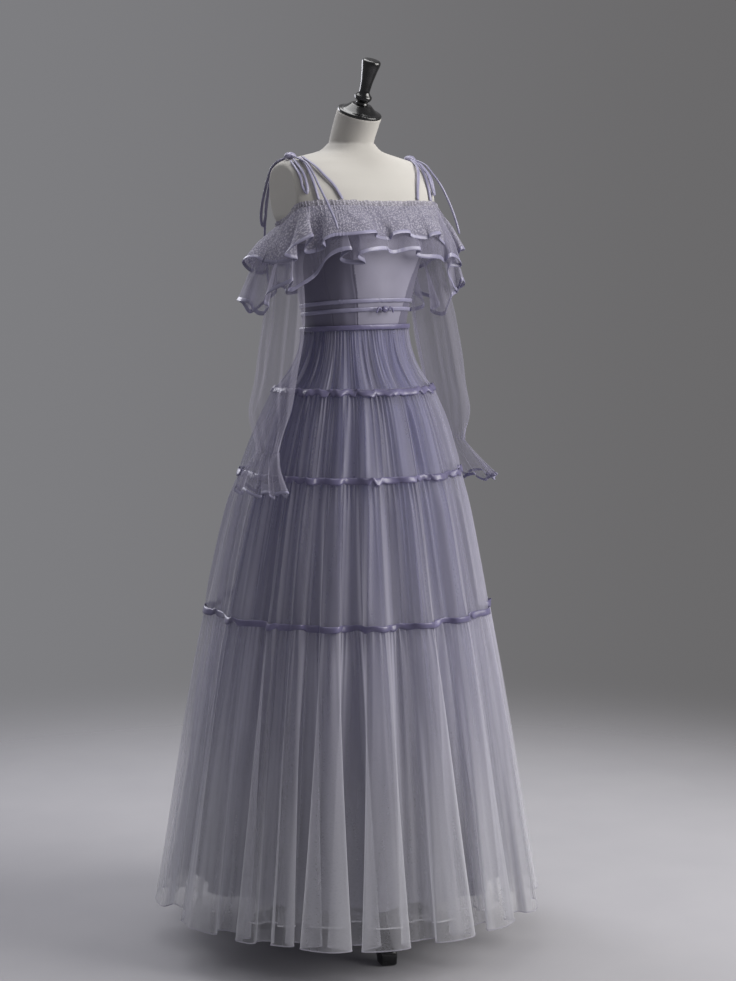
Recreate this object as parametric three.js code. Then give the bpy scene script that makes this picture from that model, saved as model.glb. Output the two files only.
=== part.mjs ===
// A full-length a-line prom dress in tiered tulle, on a limbless dress form with a tripod stand.
// Millimetres, +Z up, front of the dress towards -Y, the wearer's left towards +X.
// Angles round the body, called phi, are in degrees from the centre front towards the wearer's left.

import * as THREE from 'three';

// ---------- driving sizes ----------

const SEAM = 0.3;                 // gap left between pieces that are sewn together
const NECKLINE_Z = 1508;          // top seam of the bodice at the centre front
const WAIST_Z = 1261;             // seam between the bodice and the skirt, at the side
const WAIST_TILT = 0.07;          // rise of the waist seam for each mm towards the front
const BAND_TILT = 0.11;           // the same for the two narrow satin bands above it
const LOWER_BAND_Z = 1293;
const UPPER_BAND_Z = 1310;
const BAND_HEIGHT = 8;
const RIBBON_HEIGHT = 13;         // satin ribbon over each tier seam
const HEM_TRIM_HEIGHT = 10;       // satin binding on the edge of each ruffle
const HEADING = { below: 14, above: 6 }; // the gathered strip over the neckline seam
const CLOTH = 1.6;                // wall of one layer of cloth
const OVAL_POWER = 2.3;           // how full the horizontal sections of the body are
const PLATE_X = 172;              // flat plates that close the form where arms would be
const BUST = { x: 78, z: 1427, height: 14, wide: 46, tall: 54 };
const NECK = { radius: 45, baseZ: 1628, topZ: 1688, baseY: 20, topY: -8, tilt: 22 };
const POLE_RADIUS = 15;
const HUB = { radius: 30, low: 62, high: 196 };
const LEG = { width: 33, reach: 222, angles: [-110, 10, 130] };
const STRAP_RADIUS = 2.6;
const SHOULDER = { y: 20, z: 1512 }; // centre that straps are led round, seen from the side

// Offsets of each layer from the body under it, inner face
const LAYER = {
  bodice: 1.0, slip: 1.3, underskirt: 3.4, tier: 5.5, band: 3.8, header: 3.4, armhole: 5.4, tulleTop: 5.8,
  laceTop: 8.2,
};

// Horizontal sections of the form. middle is the y of the widest line.
const BODY = [
  { z: 975, side: 150, middle: 10, front: 100, back: 105 },
  { z: 1054, side: 163, middle: 12, front: 108, back: 116 },
  { z: 1152, side: 137, middle: 10, front: 94, back: 98 },
  { z: 1256, side: 106, middle: 8, front: 81, back: 79 },
  { z: 1341, side: 119, middle: 8, front: 98, back: 88 },
  { z: 1427, side: 138, middle: 8, front: 108, back: 93 },
  { z: 1447, side: 151, middle: 9, front: 107, back: 94 },
  { z: 1467, side: 168, middle: 10, front: 105, back: 94 },
  { z: 1488, side: 182, middle: 11, front: 102, back: 93 },
  { z: 1532, side: 191, middle: 15, front: 92, back: 89 },
  { z: 1566, side: 189, middle: 20, front: 76, back: 77 },
  { z: 1591, side: 164, middle: 22, front: 58, back: 62 },
  { z: 1603, side: 118, middle: 22, front: 50, back: 54 },
  { z: 1616, side: 64, middle: 21, front: 47, back: 49 },
  { z: 1628, side: 48, middle: 20, front: 45, back: 45 },
];

// The skirt's seam rings: half width, half depth, y of the centre, and how deep its folds are.
const SKIRT = [
  { z: 1140, side: 167, deep: 148, middle: 10, fold: 5 },
  { z: 972, side: 226, deep: 218, middle: 22, fold: 10 },
  { z: 690, side: 289, deep: 285, middle: 30, fold: 15 },
  { z: 85, side: 388, deep: 388, middle: 30, fold: 25 },
];
const SKIRT_TOP = { z: WAIST_Z, side: 113, deep: 88, middle: 8, fold: 0 };
const UNDERSKIRT = [
  { z: 1045, side: 188, deep: 172, middle: 16, fold: 7 },
  { z: 118, side: 364, deep: 364, middle: 30, fold: 22 },
];
const SLIP = [
  { z: 1045, side: 177, deep: 160, middle: 16, fold: 5 },
  { z: 145, side: 341, deep: 341, middle: 30, fold: 18 },
];

// The large standing folds of the skirt, each from its own phi to the next row's.
const FOLDS = [
  { phi: 5, depth: 1.0 }, { phi: 26, depth: 0.9 }, { phi: 49, depth: 1.0 }, { phi: 74, depth: 1.1 },
  { phi: 101, depth: 0.9 }, { phi: 130, depth: 1.1 }, { phi: 161, depth: 1.0 }, { phi: 192, depth: 1.1 },
  { phi: 224, depth: 0.9 }, { phi: 256, depth: 1.1 }, { phi: 286, depth: 0.7 }, { phi: 298, depth: 0.5 },
  { phi: 309, depth: 0.7 }, { phi: 325, depth: 1.0 }, { phi: 345, depth: 1.1 },
];

// The two ruffles: height of the neckline seam, of each hem, and how far each hem stands out.
const RUFFLE = [
  { phi: 0, seam: 1508, lace: 1446, tulle: 1410, laceOut: 24, tulleOut: 18 },
  { phi: 35, seam: 1510, lace: 1442, tulle: 1402, laceOut: 26, tulleOut: 20 },
  { phi: 58, seam: 1506, lace: 1418, tulle: 1364, laceOut: 36, tulleOut: 38 },
  { phi: 75, seam: 1488, lace: 1398, tulle: 1318, laceOut: 52, tulleOut: 58 },
  { phi: 90, seam: 1472, lace: 1392, tulle: 1298, laceOut: 60, tulleOut: 66 },
  { phi: 112, seam: 1461, lace: 1386, tulle: 1308, laceOut: 50, tulleOut: 58 },
  { phi: 142, seam: 1451, lace: 1380, tulle: 1336, laceOut: 28, tulleOut: 32 },
  { phi: 180, seam: 1446, lace: 1376, tulle: 1340, laceOut: 22, tulleOut: 24 },
];
const RUFFLE_WAVES = 10;
const RUFFLE_WAVE = 7;

// Where the bodice seams run on each side: the princess seam over the bust, and the side seam.
const SEAMS = [
  { z: 1265, princess: 24, side: 54 },
  { z: 1341, princess: 28, side: 58 },
  { z: 1427, princess: 36, side: 64 },
  { z: 1508, princess: 36, side: 64 },
];
const BACK_SEAM = 112;
const PANEL_SEAM = 0.16;          // seam left between two panels, in degrees
const ZIP_HALF = 2.2;             // degrees taken up by the closed zip at the centre back

// The sleeves from below the armhole to the wrist, then the cuffs: how far out the right one hangs (x) and
// the left one (left), half width out from the body, half width along it.
const SLEEVE = [
  { z: 1404, x: 171, left: 171, y: 0, out: 18, along: 46 },
  { z: 1287, x: 192, left: 187, y: -14, out: 30, along: 55 },
  { z: 1183, x: 216, left: 201, y: -24, out: 29, along: 57 },
  { z: 1098, x: 236, left: 217, y: -29, out: 26, along: 55 },
  { z: 1026, x: 243, left: 228, y: -32, out: 15, along: 30 },
];
const CUFF = [
  { z: 1025.7, x: 243, left: 228, y: -32, out: 15, along: 30 },
  { z: 988, x: 257, left: 246, y: -34, out: 21, along: 54 },
  { z: 949, x: 266, left: 264, y: -43, out: 30, along: 74 },
];
const ARMHOLE_Z = 1421;           // lowest point of the armhole
const CUFF_WAVES = 4;
const CUFF_WAVE = 3;

// ---------- finishes ----------

function finish(color, roughness, metalness = 0) {
  return () => new THREE.MeshStandardMaterial({ color, roughness, metalness });
}
const linen = finish(0xe9e7e1, 0.85);
const lacquer = finish(0x0b0b0d, 0.25);
const bodiceCloth = finish(0x8f8ca8, 0.6);
const tulle = finish(0x9a98b6, 0.8);
const paleTulle = finish(0xb9bac4, 0.8);
const lining = finish(0x8582a4, 0.7);
const satin = finish(0x8b86b4, 0.35);
const lace = finish(0x9d9bb0, 0.85);

// ---------- small mathematics ----------

const radians = THREE.MathUtils.degToRad;

// Value of one column of a table at a place in another, as a smooth curve that never overshoots.
function along(table, place, at, column) {
  const rising = table[table.length - 1][place] > table[0][place];
  const rows = rising ? table : [...table].reverse();
  const last = rows.length - 1;
  const where = THREE.MathUtils.clamp(at, rows[0][place], rows[last][place]);
  let i = 0;
  while (i < last - 1 && where > rows[i + 1][place]) i += 1;
  const slope = (k) => (rows[k + 1][column] - rows[k][column]) / (rows[k + 1][place] - rows[k][place]);
  const tangent = (k) => {
    if (k === 0) return slope(0);
    if (k === last) return slope(last - 1);
    const before = slope(k - 1);
    const after = slope(k);
    return before * after <= 0 ? 0 : (2 * before * after) / (before + after);
  };
  const step = rows[i + 1][place] - rows[i][place];
  const t = (where - rows[i][place]) / step;
  return rows[i][column] * (1 + 2 * t) * (1 - t) ** 2 + rows[i + 1][column] * t * t * (3 - 2 * t)
    + step * t * (1 - t) * (tangent(i) * (1 - t) - tangent(i + 1) * t);
}

function row(table, place, at) {
  return Object.fromEntries(Object.keys(table[0]).map((column) => [column, along(table, place, at, column)]));
}

function range(count, make) {
  return Array.from({ length: count }, (_, i) => make(i));
}

function evenly(count, from = 0, to = 360) {
  return range(count, (i) => from + ((to - from) * i) / (to - from === 360 ? count : count - 1));
}

// ---------- the body's surface ----------

function bust(x, z) {
  const near = (side) => Math.exp(-(((x - side * BUST.x) / BUST.wide) ** 2));
  return BUST.height * (near(1) + near(-1)) * Math.exp(-(((z - BUST.z) / BUST.tall) ** 2));
}

// A point of one horizontal section, before any offset.
function ovalPoint(section, phi, z) {
  const s = Math.sin(radians(phi));
  const c = Math.cos(radians(phi));
  const x = section.side * Math.sign(s) * Math.abs(s) ** (2 / OVAL_POWER);
  const deep = c > 0 ? section.front : section.back;
  let y = section.middle - deep * Math.sign(c) * Math.abs(c) ** (2 / OVAL_POWER);
  if (c > 0) y -= bust(x, z) * Math.min(1, 2 * c);
  return [THREE.MathUtils.clamp(x, -PLATE_X, PLATE_X), y];
}

// The same point moved straight out from the section by a gap.
function ovalOffset(section, phi, z, gap) {
  const [x, y] = ovalPoint(section, phi, z);
  const before = ovalPoint(section, phi - 2, z);
  const after = ovalPoint(section, phi + 2, z);
  const dx = after[0] - before[0];
  const dy = after[1] - before[1];
  const length = Math.hypot(dx, dy);
  return [x + (gap * dy) / length, y - (gap * dx) / length, z];
}

function bodyPoint(phi, z, gap = 0) {
  return ovalOffset(row(BODY, 'z', z), phi, z, gap);
}

// Cloth that falls free from the neckline hangs outside the widest section it has passed.
function hangingPoint(phi, z, top, gap) {
  const heights = range(7, (i) => z + ((top - z) * i) / 6);
  const passed = heights.map((h) => row(BODY, 'z', h));
  const middle = passed[6].middle;
  const section = {
    middle,
    side: Math.max(PLATE_X, ...passed.map((p) => p.side)),
    front: Math.max(...passed.map((p) => p.front - p.middle + middle)),
    back: Math.max(...passed.map((p) => p.back + p.middle - middle)),
  };
  const [x, y] = ovalOffset(section, phi, Math.max(z, BUST.z), gap);
  return [x, y, z];
}

// A line round the body that rises towards the front.
function tiltedPoint(phi, z, tilt, gap) {
  const level = z - tilt * bodyPoint(phi, z)[1];
  return bodyPoint(phi, level, gap);
}

// ---------- solids ----------

// A closed mesh from points and faces, turned so that its faces point out.
function solid(points, faces) {
  const volume = faces.reduce((sum, [a, b, c]) => {
    const [p, q, r] = [points[a], points[b], points[c]];
    return sum + p[0] * (q[1] * r[2] - q[2] * r[1]) + p[1] * (q[2] * r[0] - q[0] * r[2])
      + p[2] * (q[0] * r[1] - q[1] * r[0]);
  }, 0);
  const index = faces.flatMap(([a, b, c]) => (volume > 0 ? [a, b, c] : [a, c, b]));
  const geometry = new THREE.BufferGeometry();
  geometry.setAttribute('position', new THREE.Float32BufferAttribute(points.flat(), 3));
  geometry.setIndex(index);
  geometry.computeVertexNormals();
  return geometry;
}

// Two faces for each cell between neighbouring rows of points.
function cells(rows, columns, at, closed) {
  const faces = [];
  for (let i = 0; i < rows - 1; i += 1) {
    for (let j = 0; j < (closed ? columns : columns - 1); j += 1) {
      const k = (j + 1) % columns;
      faces.push([at(i, j), at(i, k), at(i + 1, k)], [at(i, j), at(i + 1, k), at(i + 1, j)]);
    }
  }
  return faces;
}

// A wall of cloth between an outer and an inner grid of points. closed joins the last column to the first.
function wall(outer, inner, closed = true) {
  const rows = outer.length;
  const columns = outer[0].length;
  const size = rows * columns;
  const points = [...outer.flat(), ...inner.flat()];
  const out = (i, j) => i * columns + j;
  const back = (i, j) => size + i * columns + j;
  const faces = [
    ...cells(rows, columns, out, closed),
    ...cells(rows, columns, back, closed).map(([a, b, c]) => [a, c, b]),
    ...cells(2, columns, (i, j) => (i ? out(0, j) : back(0, j)), closed),
    ...cells(2, columns, (i, j) => (i ? back(rows - 1, j) : out(rows - 1, j)), closed),
  ];
  if (!closed) {
    faces.push(...cells(2, rows, (i, j) => (i ? back(j, 0) : out(j, 0)), false));
    faces.push(...cells(2, rows, (i, j) => (i ? out(j, columns - 1) : back(j, columns - 1)), false));
  }
  return solid(points, faces);
}

// A solid through closed rings of points, with a middle point on each end.
function loft(rings) {
  const columns = rings[0].length;
  const middle = (ring) => [0, 1, 2].map((k) => ring.reduce((sum, p) => sum + p[k], 0) / columns);
  const points = [...rings.flat(), middle(rings[0]), middle(rings[rings.length - 1])];
  const low = points.length - 2;
  const last = (rings.length - 1) * columns;
  const faces = cells(rings.length, columns, (i, j) => i * columns + j, true);
  for (let j = 0; j < columns; j += 1) {
    const k = (j + 1) % columns;
    faces.push([low, k, j], [low + 1, last + j, last + k]);
  }
  return solid(points, faces);
}

// A round rod, such as a strap, along a smooth line through a few points.
function rod(route, radius, steps, sides) {
  const curve = new THREE.CatmullRomCurve3(route.map((p) => new THREE.Vector3(...p)));
  const section = new THREE.Shape(range(sides, (i) => new THREE.Vector2(
    radius * Math.cos((2 * Math.PI * i) / sides),
    radius * Math.sin((2 * Math.PI * i) / sides),
  )));
  return new THREE.ExtrudeGeometry(section, { steps, extrudePath: curve, bevelEnabled: false });
}

function turned(profile, sides) {
  return new THREE.LatheGeometry(profile.map(([r, z]) => new THREE.Vector2(r, z)), sides).rotateX(Math.PI / 2);
}

const dress = new THREE.Group();

function add(name, geometry, material, parent = dress) {
  const mesh = new THREE.Mesh(geometry, material());
  mesh.name = name;
  parent.add(mesh);
  return mesh;
}

// ---------- the form and its stand ----------

const BODY_PHIS = evenly(40);

function formTorso() {
  const slack = (z) => (z < NECKLINE_Z ? -3 : 0);
  const heights = [975, 1004, 1054, 1103, 1152, 1205, 1256, 1299, 1341, 1372, 1400, 1427, 1447, 1467, 1488, 1509,
    1532, 1552, 1568, 1580, 1590, 1597, 1603, 1609, 1616, 1628];
  const torso = heights.map((z) => BODY_PHIS.map((phi) => bodyPoint(phi, z, slack(z))));
  const neck = [0.25, 0.5, 0.75, 1].map((t) => {
    const tilt = radians(NECK.tilt * t);
    const y = THREE.MathUtils.lerp(NECK.baseY, NECK.topY, t ** 1.2);
    const z = THREE.MathUtils.lerp(NECK.baseZ, NECK.topZ, t);
    return BODY_PHIS.map((phi) => {
      const across = NECK.radius * Math.sin(radians(phi));
      const fore = NECK.radius * Math.cos(radians(phi));
      return [across, y - fore * Math.cos(tilt), z - fore * Math.sin(tilt)];
    });
  });
  return loft([...torso, ...neck]);
}

function neckCap() {
  const profile = [[0, 0.3], [43.5, 0.3], [44.5, 3], [43.5, 6], [36, 8], [30, 12], [20, 20], [0, 21]];
  return turned(profile, 32);
}

function finial() {
  const profile = [[0, 21.4], [13, 21.4], [11, 25], [16.5, 31], [17.5, 36], [13, 42], [10.5, 47], [12, 66],
    [16, 90], [19, 106], [17, 111], [0, 112]];
  return turned(profile, 24);
}

function addForm() {
  add('form_torso', formTorso(), linen);
  const top = new THREE.Group();
  top.position.set(0, NECK.topY, NECK.topZ);
  top.rotation.x = radians(NECK.tilt);
  dress.add(top);
  add('neck_cap', neckCap(), lacquer, top);
  add('neck_finial', finial(), lacquer, top);
}

function standPole() {
  const foot = HUB.high + SEAM;
  const head = BODY[0].z - SEAM;
  const profile = [[0, foot], [POLE_RADIUS, foot], [POLE_RADIUS, head - 60], [34, head - 22], [46, head - 14],
    [46, head], [0, head]];
  return turned(profile, 24);
}

function standHub() {
  const { radius, low, high } = HUB;
  const profile = [[0, low - 18], [12, low - 14], [18, low - 4], [radius, low], [radius, high - 26],
    [22, high - 18], [26, high - 10], [20, high], [0, high]];
  return turned(profile, 24);
}

function leg() {
  const inner = HUB.radius + SEAM;
  const outline = new THREE.Shape();
  outline.moveTo(inner, 168);
  outline.bezierCurveTo(90, 172, 118, 120, 148, 82);
  outline.bezierCurveTo(176, 48, 196, 34, LEG.reach - 8, 31);
  outline.quadraticCurveTo(LEG.reach, 29, LEG.reach, 20);
  outline.lineTo(LEG.reach - 3, 0);
  outline.lineTo(LEG.reach - 34, 0);
  outline.lineTo(LEG.reach - 38, 10);
  outline.bezierCurveTo(172, 20, 148, 42, 126, 66);
  outline.bezierCurveTo(104, 92, 84, 118, inner, 112);
  const shape = new THREE.ExtrudeGeometry(outline, { depth: LEG.width, bevelEnabled: false, curveSegments: 5 });
  return shape.translate(0, 0, -LEG.width / 2).rotateX(Math.PI / 2);
}

function addStand() {
  add('stand_pole', standPole(), lacquer);
  add('stand_hub', standHub(), lacquer);
  LEG.angles.forEach((angle, i) => {
    add(`stand_leg_${i + 1}`, leg(), lacquer).rotation.z = radians(angle);
  });
}

// ---------- the bodice ----------

// Upper edge of the bodice, where the neckline heading is sewn to it.
function bodiceTop(phi) {
  return ruffleRow(phi).seam - HEADING.below - SEAM;
}

// One panel between two seams. from and to give phi at a height.
function panel(from, to, columns, rows = 7) {
  const grid = (gap) => range(rows, (i) => range(columns, (j) => {
    const t = i / (rows - 1);
    const guess = THREE.MathUtils.lerp(LOWER_BAND_Z - 3, NECKLINE_Z - HEADING.below, t);
    const phi = THREE.MathUtils.lerp(from(guess), to(guess), j / (columns - 1));
    const low = LOWER_BAND_Z - 3 - BAND_TILT * bodyPoint(phi, LOWER_BAND_Z)[1];
    const z = THREE.MathUtils.lerp(low, Math.min(bodiceTop(phi), armholeLow(phi)), t);
    return bodyPoint(phi, z, gap);
  }));
  return wall(grid(LAYER.bodice + CLOTH), grid(LAYER.bodice), false);
}

// Under each arm plate the panels stop lower, at the armhole.
function armholeLow(phi) {
  const away = Math.abs(Math.abs(phi) - 90);
  return ARMHOLE_Z + 10 + 3.5 * Math.max(0, away - 23);
}

function addBodice() {
  const half = PANEL_SEAM / 2;
  const princess = (z) => along(SEAMS, 'z', z, 'princess');
  const side = (z) => along(SEAMS, 'z', z, 'side');
  add('bodice_front', panel((z) => -princess(z) + half, (z) => princess(z) - half, 7), bodiceCloth);
  [['left', 1], ['right', -1]].forEach(([name, s]) => {
    add(`bodice_side_front_${name}`,
      panel((z) => s * (princess(z) + half), (z) => s * (side(z) - half), 5), bodiceCloth);
    add(`bodice_side_${name}`, panel((z) => s * (side(z) + half), () => s * (BACK_SEAM - half), 6), bodiceCloth);
    add(`bodice_back_${name}`, panel(() => s * (BACK_SEAM + half), () => s * (180 - ZIP_HALF - half), 6),
      bodiceCloth);
  });
  add('back_zip', panel(() => 180 - ZIP_HALF + half, () => 180 + ZIP_HALF - half, 2), satin);
}

// ---------- bands at the waist ----------

const BAND_PHIS = evenly(28);

// A ring of cloth round the body between two heights of the same tilted line.
function ringBand(phis, low, high, tilt, gapLow, gapHigh, thick) {
  const ring = (z, gap) => phis.map((phi) => tiltedPoint(phi, z, tilt, gap));
  return wall([ring(low, gapLow + thick), ring(high, gapHigh + thick)], [ring(low, gapLow), ring(high, gapHigh)]);
}

function addWaist() {
  const seam = WAIST_Z + 1;
  // The inset ends below the panels, which follow the steeper line of the bands.
  const inset = (gap) => [0, 1].map((t) => BAND_PHIS.map((phi) => {
    const y = bodyPoint(phi, WAIST_Z)[1];
    const low = seam - WAIST_TILT * y;
    const high = LOWER_BAND_Z - 3 - SEAM - BAND_TILT * bodyPoint(phi, LOWER_BAND_Z)[1];
    return bodyPoint(phi, THREE.MathUtils.lerp(low, high, t), gap);
  }));
  add('waist_inset', wall(inset(LAYER.bodice + CLOTH), inset(LAYER.bodice)), bodiceCloth);
  add('waist_binding', ringBand(FOLD_PHIS, WAIST_Z - 5, WAIST_Z + 5, WAIST_TILT, 10.2, 6.6, 1.6), satin);
  [['lower', LOWER_BAND_Z], ['upper', UPPER_BAND_Z]].forEach(([name, z]) => {
    const gap = LAYER.band;
    const geometry = ringBand(BAND_PHIS, z - BAND_HEIGHT / 2, z + BAND_HEIGHT / 2, BAND_TILT, gap, gap, CLOTH);
    add(`satin_band_${name}`, geometry, satin);
  });
  addWaistKnot();
}

function addWaistKnot() {
  const proud = LAYER.band + CLOTH + SEAM;
  const [, y, z] = tiltedPoint(0, LOWER_BAND_Z, BAND_TILT, proud);
  const knot = new THREE.SphereGeometry(7, 10, 6);
  knot.scale(1, 0.7, 0.9);
  const centre = y - 5.2;
  add('waist_knot', knot.translate(0, centre, z), satin);
  [['left', 1], ['right', -1]].forEach(([name, s]) => {
    const route = [[s * 7.6, centre - 0.5, z - 1], [s * 16, centre - 1.5, z + 3], [s * 21, centre - 1, z - 7]];
    add(`waist_tie_end_${name}`, rod(route, 2.2, 5, 8), satin);
  });
}

// ---------- the skirt ----------

// Three points of each large fold: the valley it starts from and the two edges of its flat top.
const FOLD_POINTS = FOLDS.flatMap((fold, i) => {
  const next = FOLDS[(i + 1) % FOLDS.length].phi + (i === FOLDS.length - 1 ? 360 : 0);
  const wide = next - fold.phi;
  return [
    { phi: fold.phi, out: -fold.depth },
    { phi: fold.phi + 0.26 * wide, out: 0.4 * fold.depth },
    { phi: fold.phi + 0.74 * wide, out: 0.4 * fold.depth },
  ];
});
const FOLD_PHIS = FOLD_POINTS.map((p) => p.phi);

// A ring of the skirt at one row of its table, grown outwards by a gap.
function skirtRing(size, gap) {
  return FOLD_POINTS.map(({ phi, out }) => {
    const grown = gap + out * size.fold;
    const s = Math.sin(radians(phi));
    const c = Math.cos(radians(phi));
    return [(size.side + grown) * s, size.middle - (size.deep + grown) * c, size.z];
  });
}

function waistRing(z, gap) {
  return FOLD_PHIS.map((phi) => tiltedPoint(phi, z, WAIST_TILT, gap));
}

function layerFromWaist(rows, inside) {
  const grid = (gap) => [
    ...rows.map((size) => skirtRing(size, gap - CLOTH)).reverse(),
    waistRing(WAIST_Z, inside + gap),
  ];
  return wall(grid(CLOTH), grid(0));
}

function tierBelow(rows) {
  const top = { ...rows[0], z: rows[0].z - SEAM };
  const grid = (gap) => [top, ...rows.slice(1)].map((size) => skirtRing(size, gap)).reverse();
  return wall(grid(0), grid(-CLOTH));
}

// Satin ribbon over a tier seam, made from the tiers' own points moved out.
function seamRibbon(at) {
  const size = SKIRT[at];
  const above = SKIRT[at - 1] ?? SKIRT_TOP;
  const below = SKIRT[at + 1];
  const reach = RIBBON_HEIGHT / 2;
  const part = (other, z) => {
    const t = (z - size.z) / (other.z - size.z);
    const mix = (column) => THREE.MathUtils.lerp(size[column], other[column], t);
    return { z, side: mix('side'), deep: mix('deep'), middle: mix('middle'), fold: mix('fold') };
  };
  const rows = [part(below, size.z - reach), part(above, size.z + reach)];
  const grid = (gap) => rows.map((r) => skirtRing(r, gap));
  return wall(grid(3.2), grid(1.4));
}

function addSkirt() {
  add('slip_lining', layerFromWaist(SLIP, LAYER.slip), lining);
  add('underskirt_tulle', layerFromWaist(UNDERSKIRT, LAYER.underskirt), paleTulle);
  add('skirt_tier_1', layerFromWaist([SKIRT[0]], LAYER.tier), tulle);
  add('skirt_tier_2', tierBelow(SKIRT.slice(0, 2)), tulle);
  add('skirt_tier_3', tierBelow(SKIRT.slice(1, 3)), tulle);
  add('skirt_tier_4', tierBelow(SKIRT.slice(2)), paleTulle);
  [0, 1, 2].forEach((at) => add(`tier_ribbon_${at + 1}`, seamRibbon(at), satin));
}

// ---------- the neckline ruffles ----------

const RUFFLE_PHIS = evenly(40);

function ruffleRow(phi) {
  return row(RUFFLE, 'phi', Math.abs(phi > 180 ? phi - 360 : phi));
}

// A point of one ruffle. t is 0 at its seam and 1 at its hem.
function rufflePoint(kind, phi, t, gap) {
  const size = ruffleRow(phi);
  const start = LAYER[`${kind}Top`];
  const top = size.seam - 4;
  const wave = Math.cos(radians(RUFFLE_WAVES * phi)) * RUFFLE_WAVE * t;
  const z = top - (top - size[kind]) * t + wave * 0.5;
  return hangingPoint(phi, z, top, start + gap + size[`${kind}Out`] * t + wave);
}

function ruffle(kind) {
  const grid = (gap) => [1, 0.5, 0].map((t) => RUFFLE_PHIS.map((phi) => rufflePoint(kind, phi, t, gap)));
  return wall(grid(CLOTH), grid(0));
}

// The binding lies on the ruffle's own points, moved out.
function ruffleTrim(kind) {
  const grid = (gap) => {
    const hem = RUFFLE_PHIS.map((phi) => rufflePoint(kind, phi, 1, gap));
    const middle = RUFFLE_PHIS.map((phi) => rufflePoint(kind, phi, 0.5, gap));
    const upper = hem.map((p, j) => {
      const share = HEM_TRIM_HEIGHT / Math.hypot(...p.map((v, k) => middle[j][k] - v));
      return p.map((v, k) => THREE.MathUtils.lerp(v, middle[j][k], share));
    });
    return [hem, upper];
  };
  return wall(grid(2 * CLOTH + 1.6), grid(CLOTH + 1.6));
}

function neckHeading() {
  const ring = (up, gap) => RUFFLE_PHIS.map((phi) => bodyPoint(phi, ruffleRow(phi).seam + up, gap));
  const grid = (gap) => [ring(-HEADING.below, gap), ring(HEADING.above, gap)];
  return wall(grid(LAYER.header + CLOTH), grid(LAYER.header));
}

function addRuffles() {
  add('neck_heading', neckHeading(), lace);
  add('ruffle_tulle', ruffle('tulle'), tulle);
  add('ruffle_tulle_trim', ruffleTrim('tulle'), satin);
  add('ruffle_lace', ruffle('lace'), lace);
  add('ruffle_lace_trim', ruffleTrim('lace'), satin);
}

// ---------- the sleeves ----------

const SLEEVE_TURNS = evenly(16);

// The armhole is an oval drawn on the body between the heading and the bodice's side.
function armholeRing(s, inset) {
  return SLEEVE_TURNS.map((turn) => {
    const phi = 90 - (27 - 0.4 * inset) * Math.sin(radians(turn));
    const high = ruffleRow(phi).seam - HEADING.below - SEAM - inset;
    const z = THREE.MathUtils.lerp(ARMHOLE_Z + inset, high, (1 + Math.cos(radians(turn))) / 2);
    const [x, y] = bodyPoint(phi, z, LAYER.armhole);
    return [s * x, y, z];
  });
}

// An oval ring of a sleeve or cuff, with turn 0 facing away from the body.
function sleeveRing(s, size, gap, wave = 0) {
  const middle = s > 0 ? size.left : size.x;
  return SLEEVE_TURNS.map((turn) => {
    const c = Math.cos(radians(turn));
    const n = Math.sin(radians(turn));
    const ripple = gap + wave * Math.cos(radians(CUFF_WAVES * turn));
    return [s * (middle + (size.out + ripple) * c), size.y - (size.along + ripple) * n, size.z];
  });
}

function sleeve(s) {
  const grid = (inset) => [armholeRing(s, inset), ...SLEEVE.map((size) => sleeveRing(s, size, -inset))];
  return wall(grid(0), grid(CLOTH));
}

function cuff(s) {
  const grid = (gap) => CUFF.map((size, i) => sleeveRing(s, size, gap, CUFF_WAVE * i));
  return wall(grid(0), grid(-CLOTH));
}

function cuffTrim(s) {
  const end = CUFF[CUFF.length - 1];
  const before = CUFF[CUFF.length - 2];
  const back = HEM_TRIM_HEIGHT / (before.z - end.z);
  const upper = Object.fromEntries(Object.keys(end).map((column) => (
    [column, THREE.MathUtils.lerp(end[column], before[column], back)])));
  const grid = (gap) => [sleeveRing(s, end, gap, 2 * CUFF_WAVE), sleeveRing(s, upper, gap, CUFF_WAVE * (2 - back))];
  return wall(grid(2), grid(0.6));
}

function addSleeves() {
  [['left', 1], ['right', -1]].forEach(([name, s]) => {
    add(`sleeve_${name}`, sleeve(s), tulle);
    add(`cuff_${name}`, cuff(s), tulle);
    add(`cuff_trim_${name}`, cuffTrim(s), satin);
  });
}

// ---------- the shoulder straps and their ties ----------

function insideBody(x, y, z) {
  if (z > BODY[BODY.length - 1].z || Math.abs(x) > PLATE_X) return false;
  const section = row(BODY, 'z', z);
  const deep = y < section.middle ? section.front : section.back;
  return (Math.abs(x) / section.side) ** OVAL_POWER + (Math.abs(y - section.middle) / deep) ** OVAL_POWER < 1;
}

// A point over the shoulder. turn is 0 at the front, 90 on top and 180 behind.
function shoulderPoint(x, turn, gap) {
  const out = [-Math.cos(radians(turn)), Math.sin(radians(turn))];
  let low = 0;
  let high = 250;
  for (let i = 0; i < 30; i += 1) {
    const mid = (low + high) / 2;
    if (insideBody(x, SHOULDER.y + out[0] * mid, SHOULDER.z + out[1] * mid)) low = mid;
    else high = mid;
  }
  return [x, SHOULDER.y + out[0] * (low + gap), SHOULDER.z + out[1] * (low + gap)];
}

function overShoulder(s, rows) {
  return rows.map(([x, turn, gap]) => {
    const [px, y, z] = shoulderPoint(x, turn, gap);
    return [s * px, y, z];
  });
}

// Each strap lies on the shoulder: x from the centre line, turn round the shoulder, and gap off the body.
const STRAPS = {
  strap_front_inner: [[94, 3.1, 4.8], [104, 20, 3.9], [117, 36, 4.6], [129, 54, 5.2], [137, 76, 4.8]],
  strap_front_outer: [[140, 2.7, 4.6], [142, 22, 3.8], [143.5, 42, 4.2], [143.5, 60, 4.8], [143.5, 76, 4.6]],
  strap_back: [[116, 212, 4.3], [126, 190, 4.1], [134, 165, 4.3], [139, 143, 5.4], [141, 124, 5.1],
    [142, 106, 4.5]],
};

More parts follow.
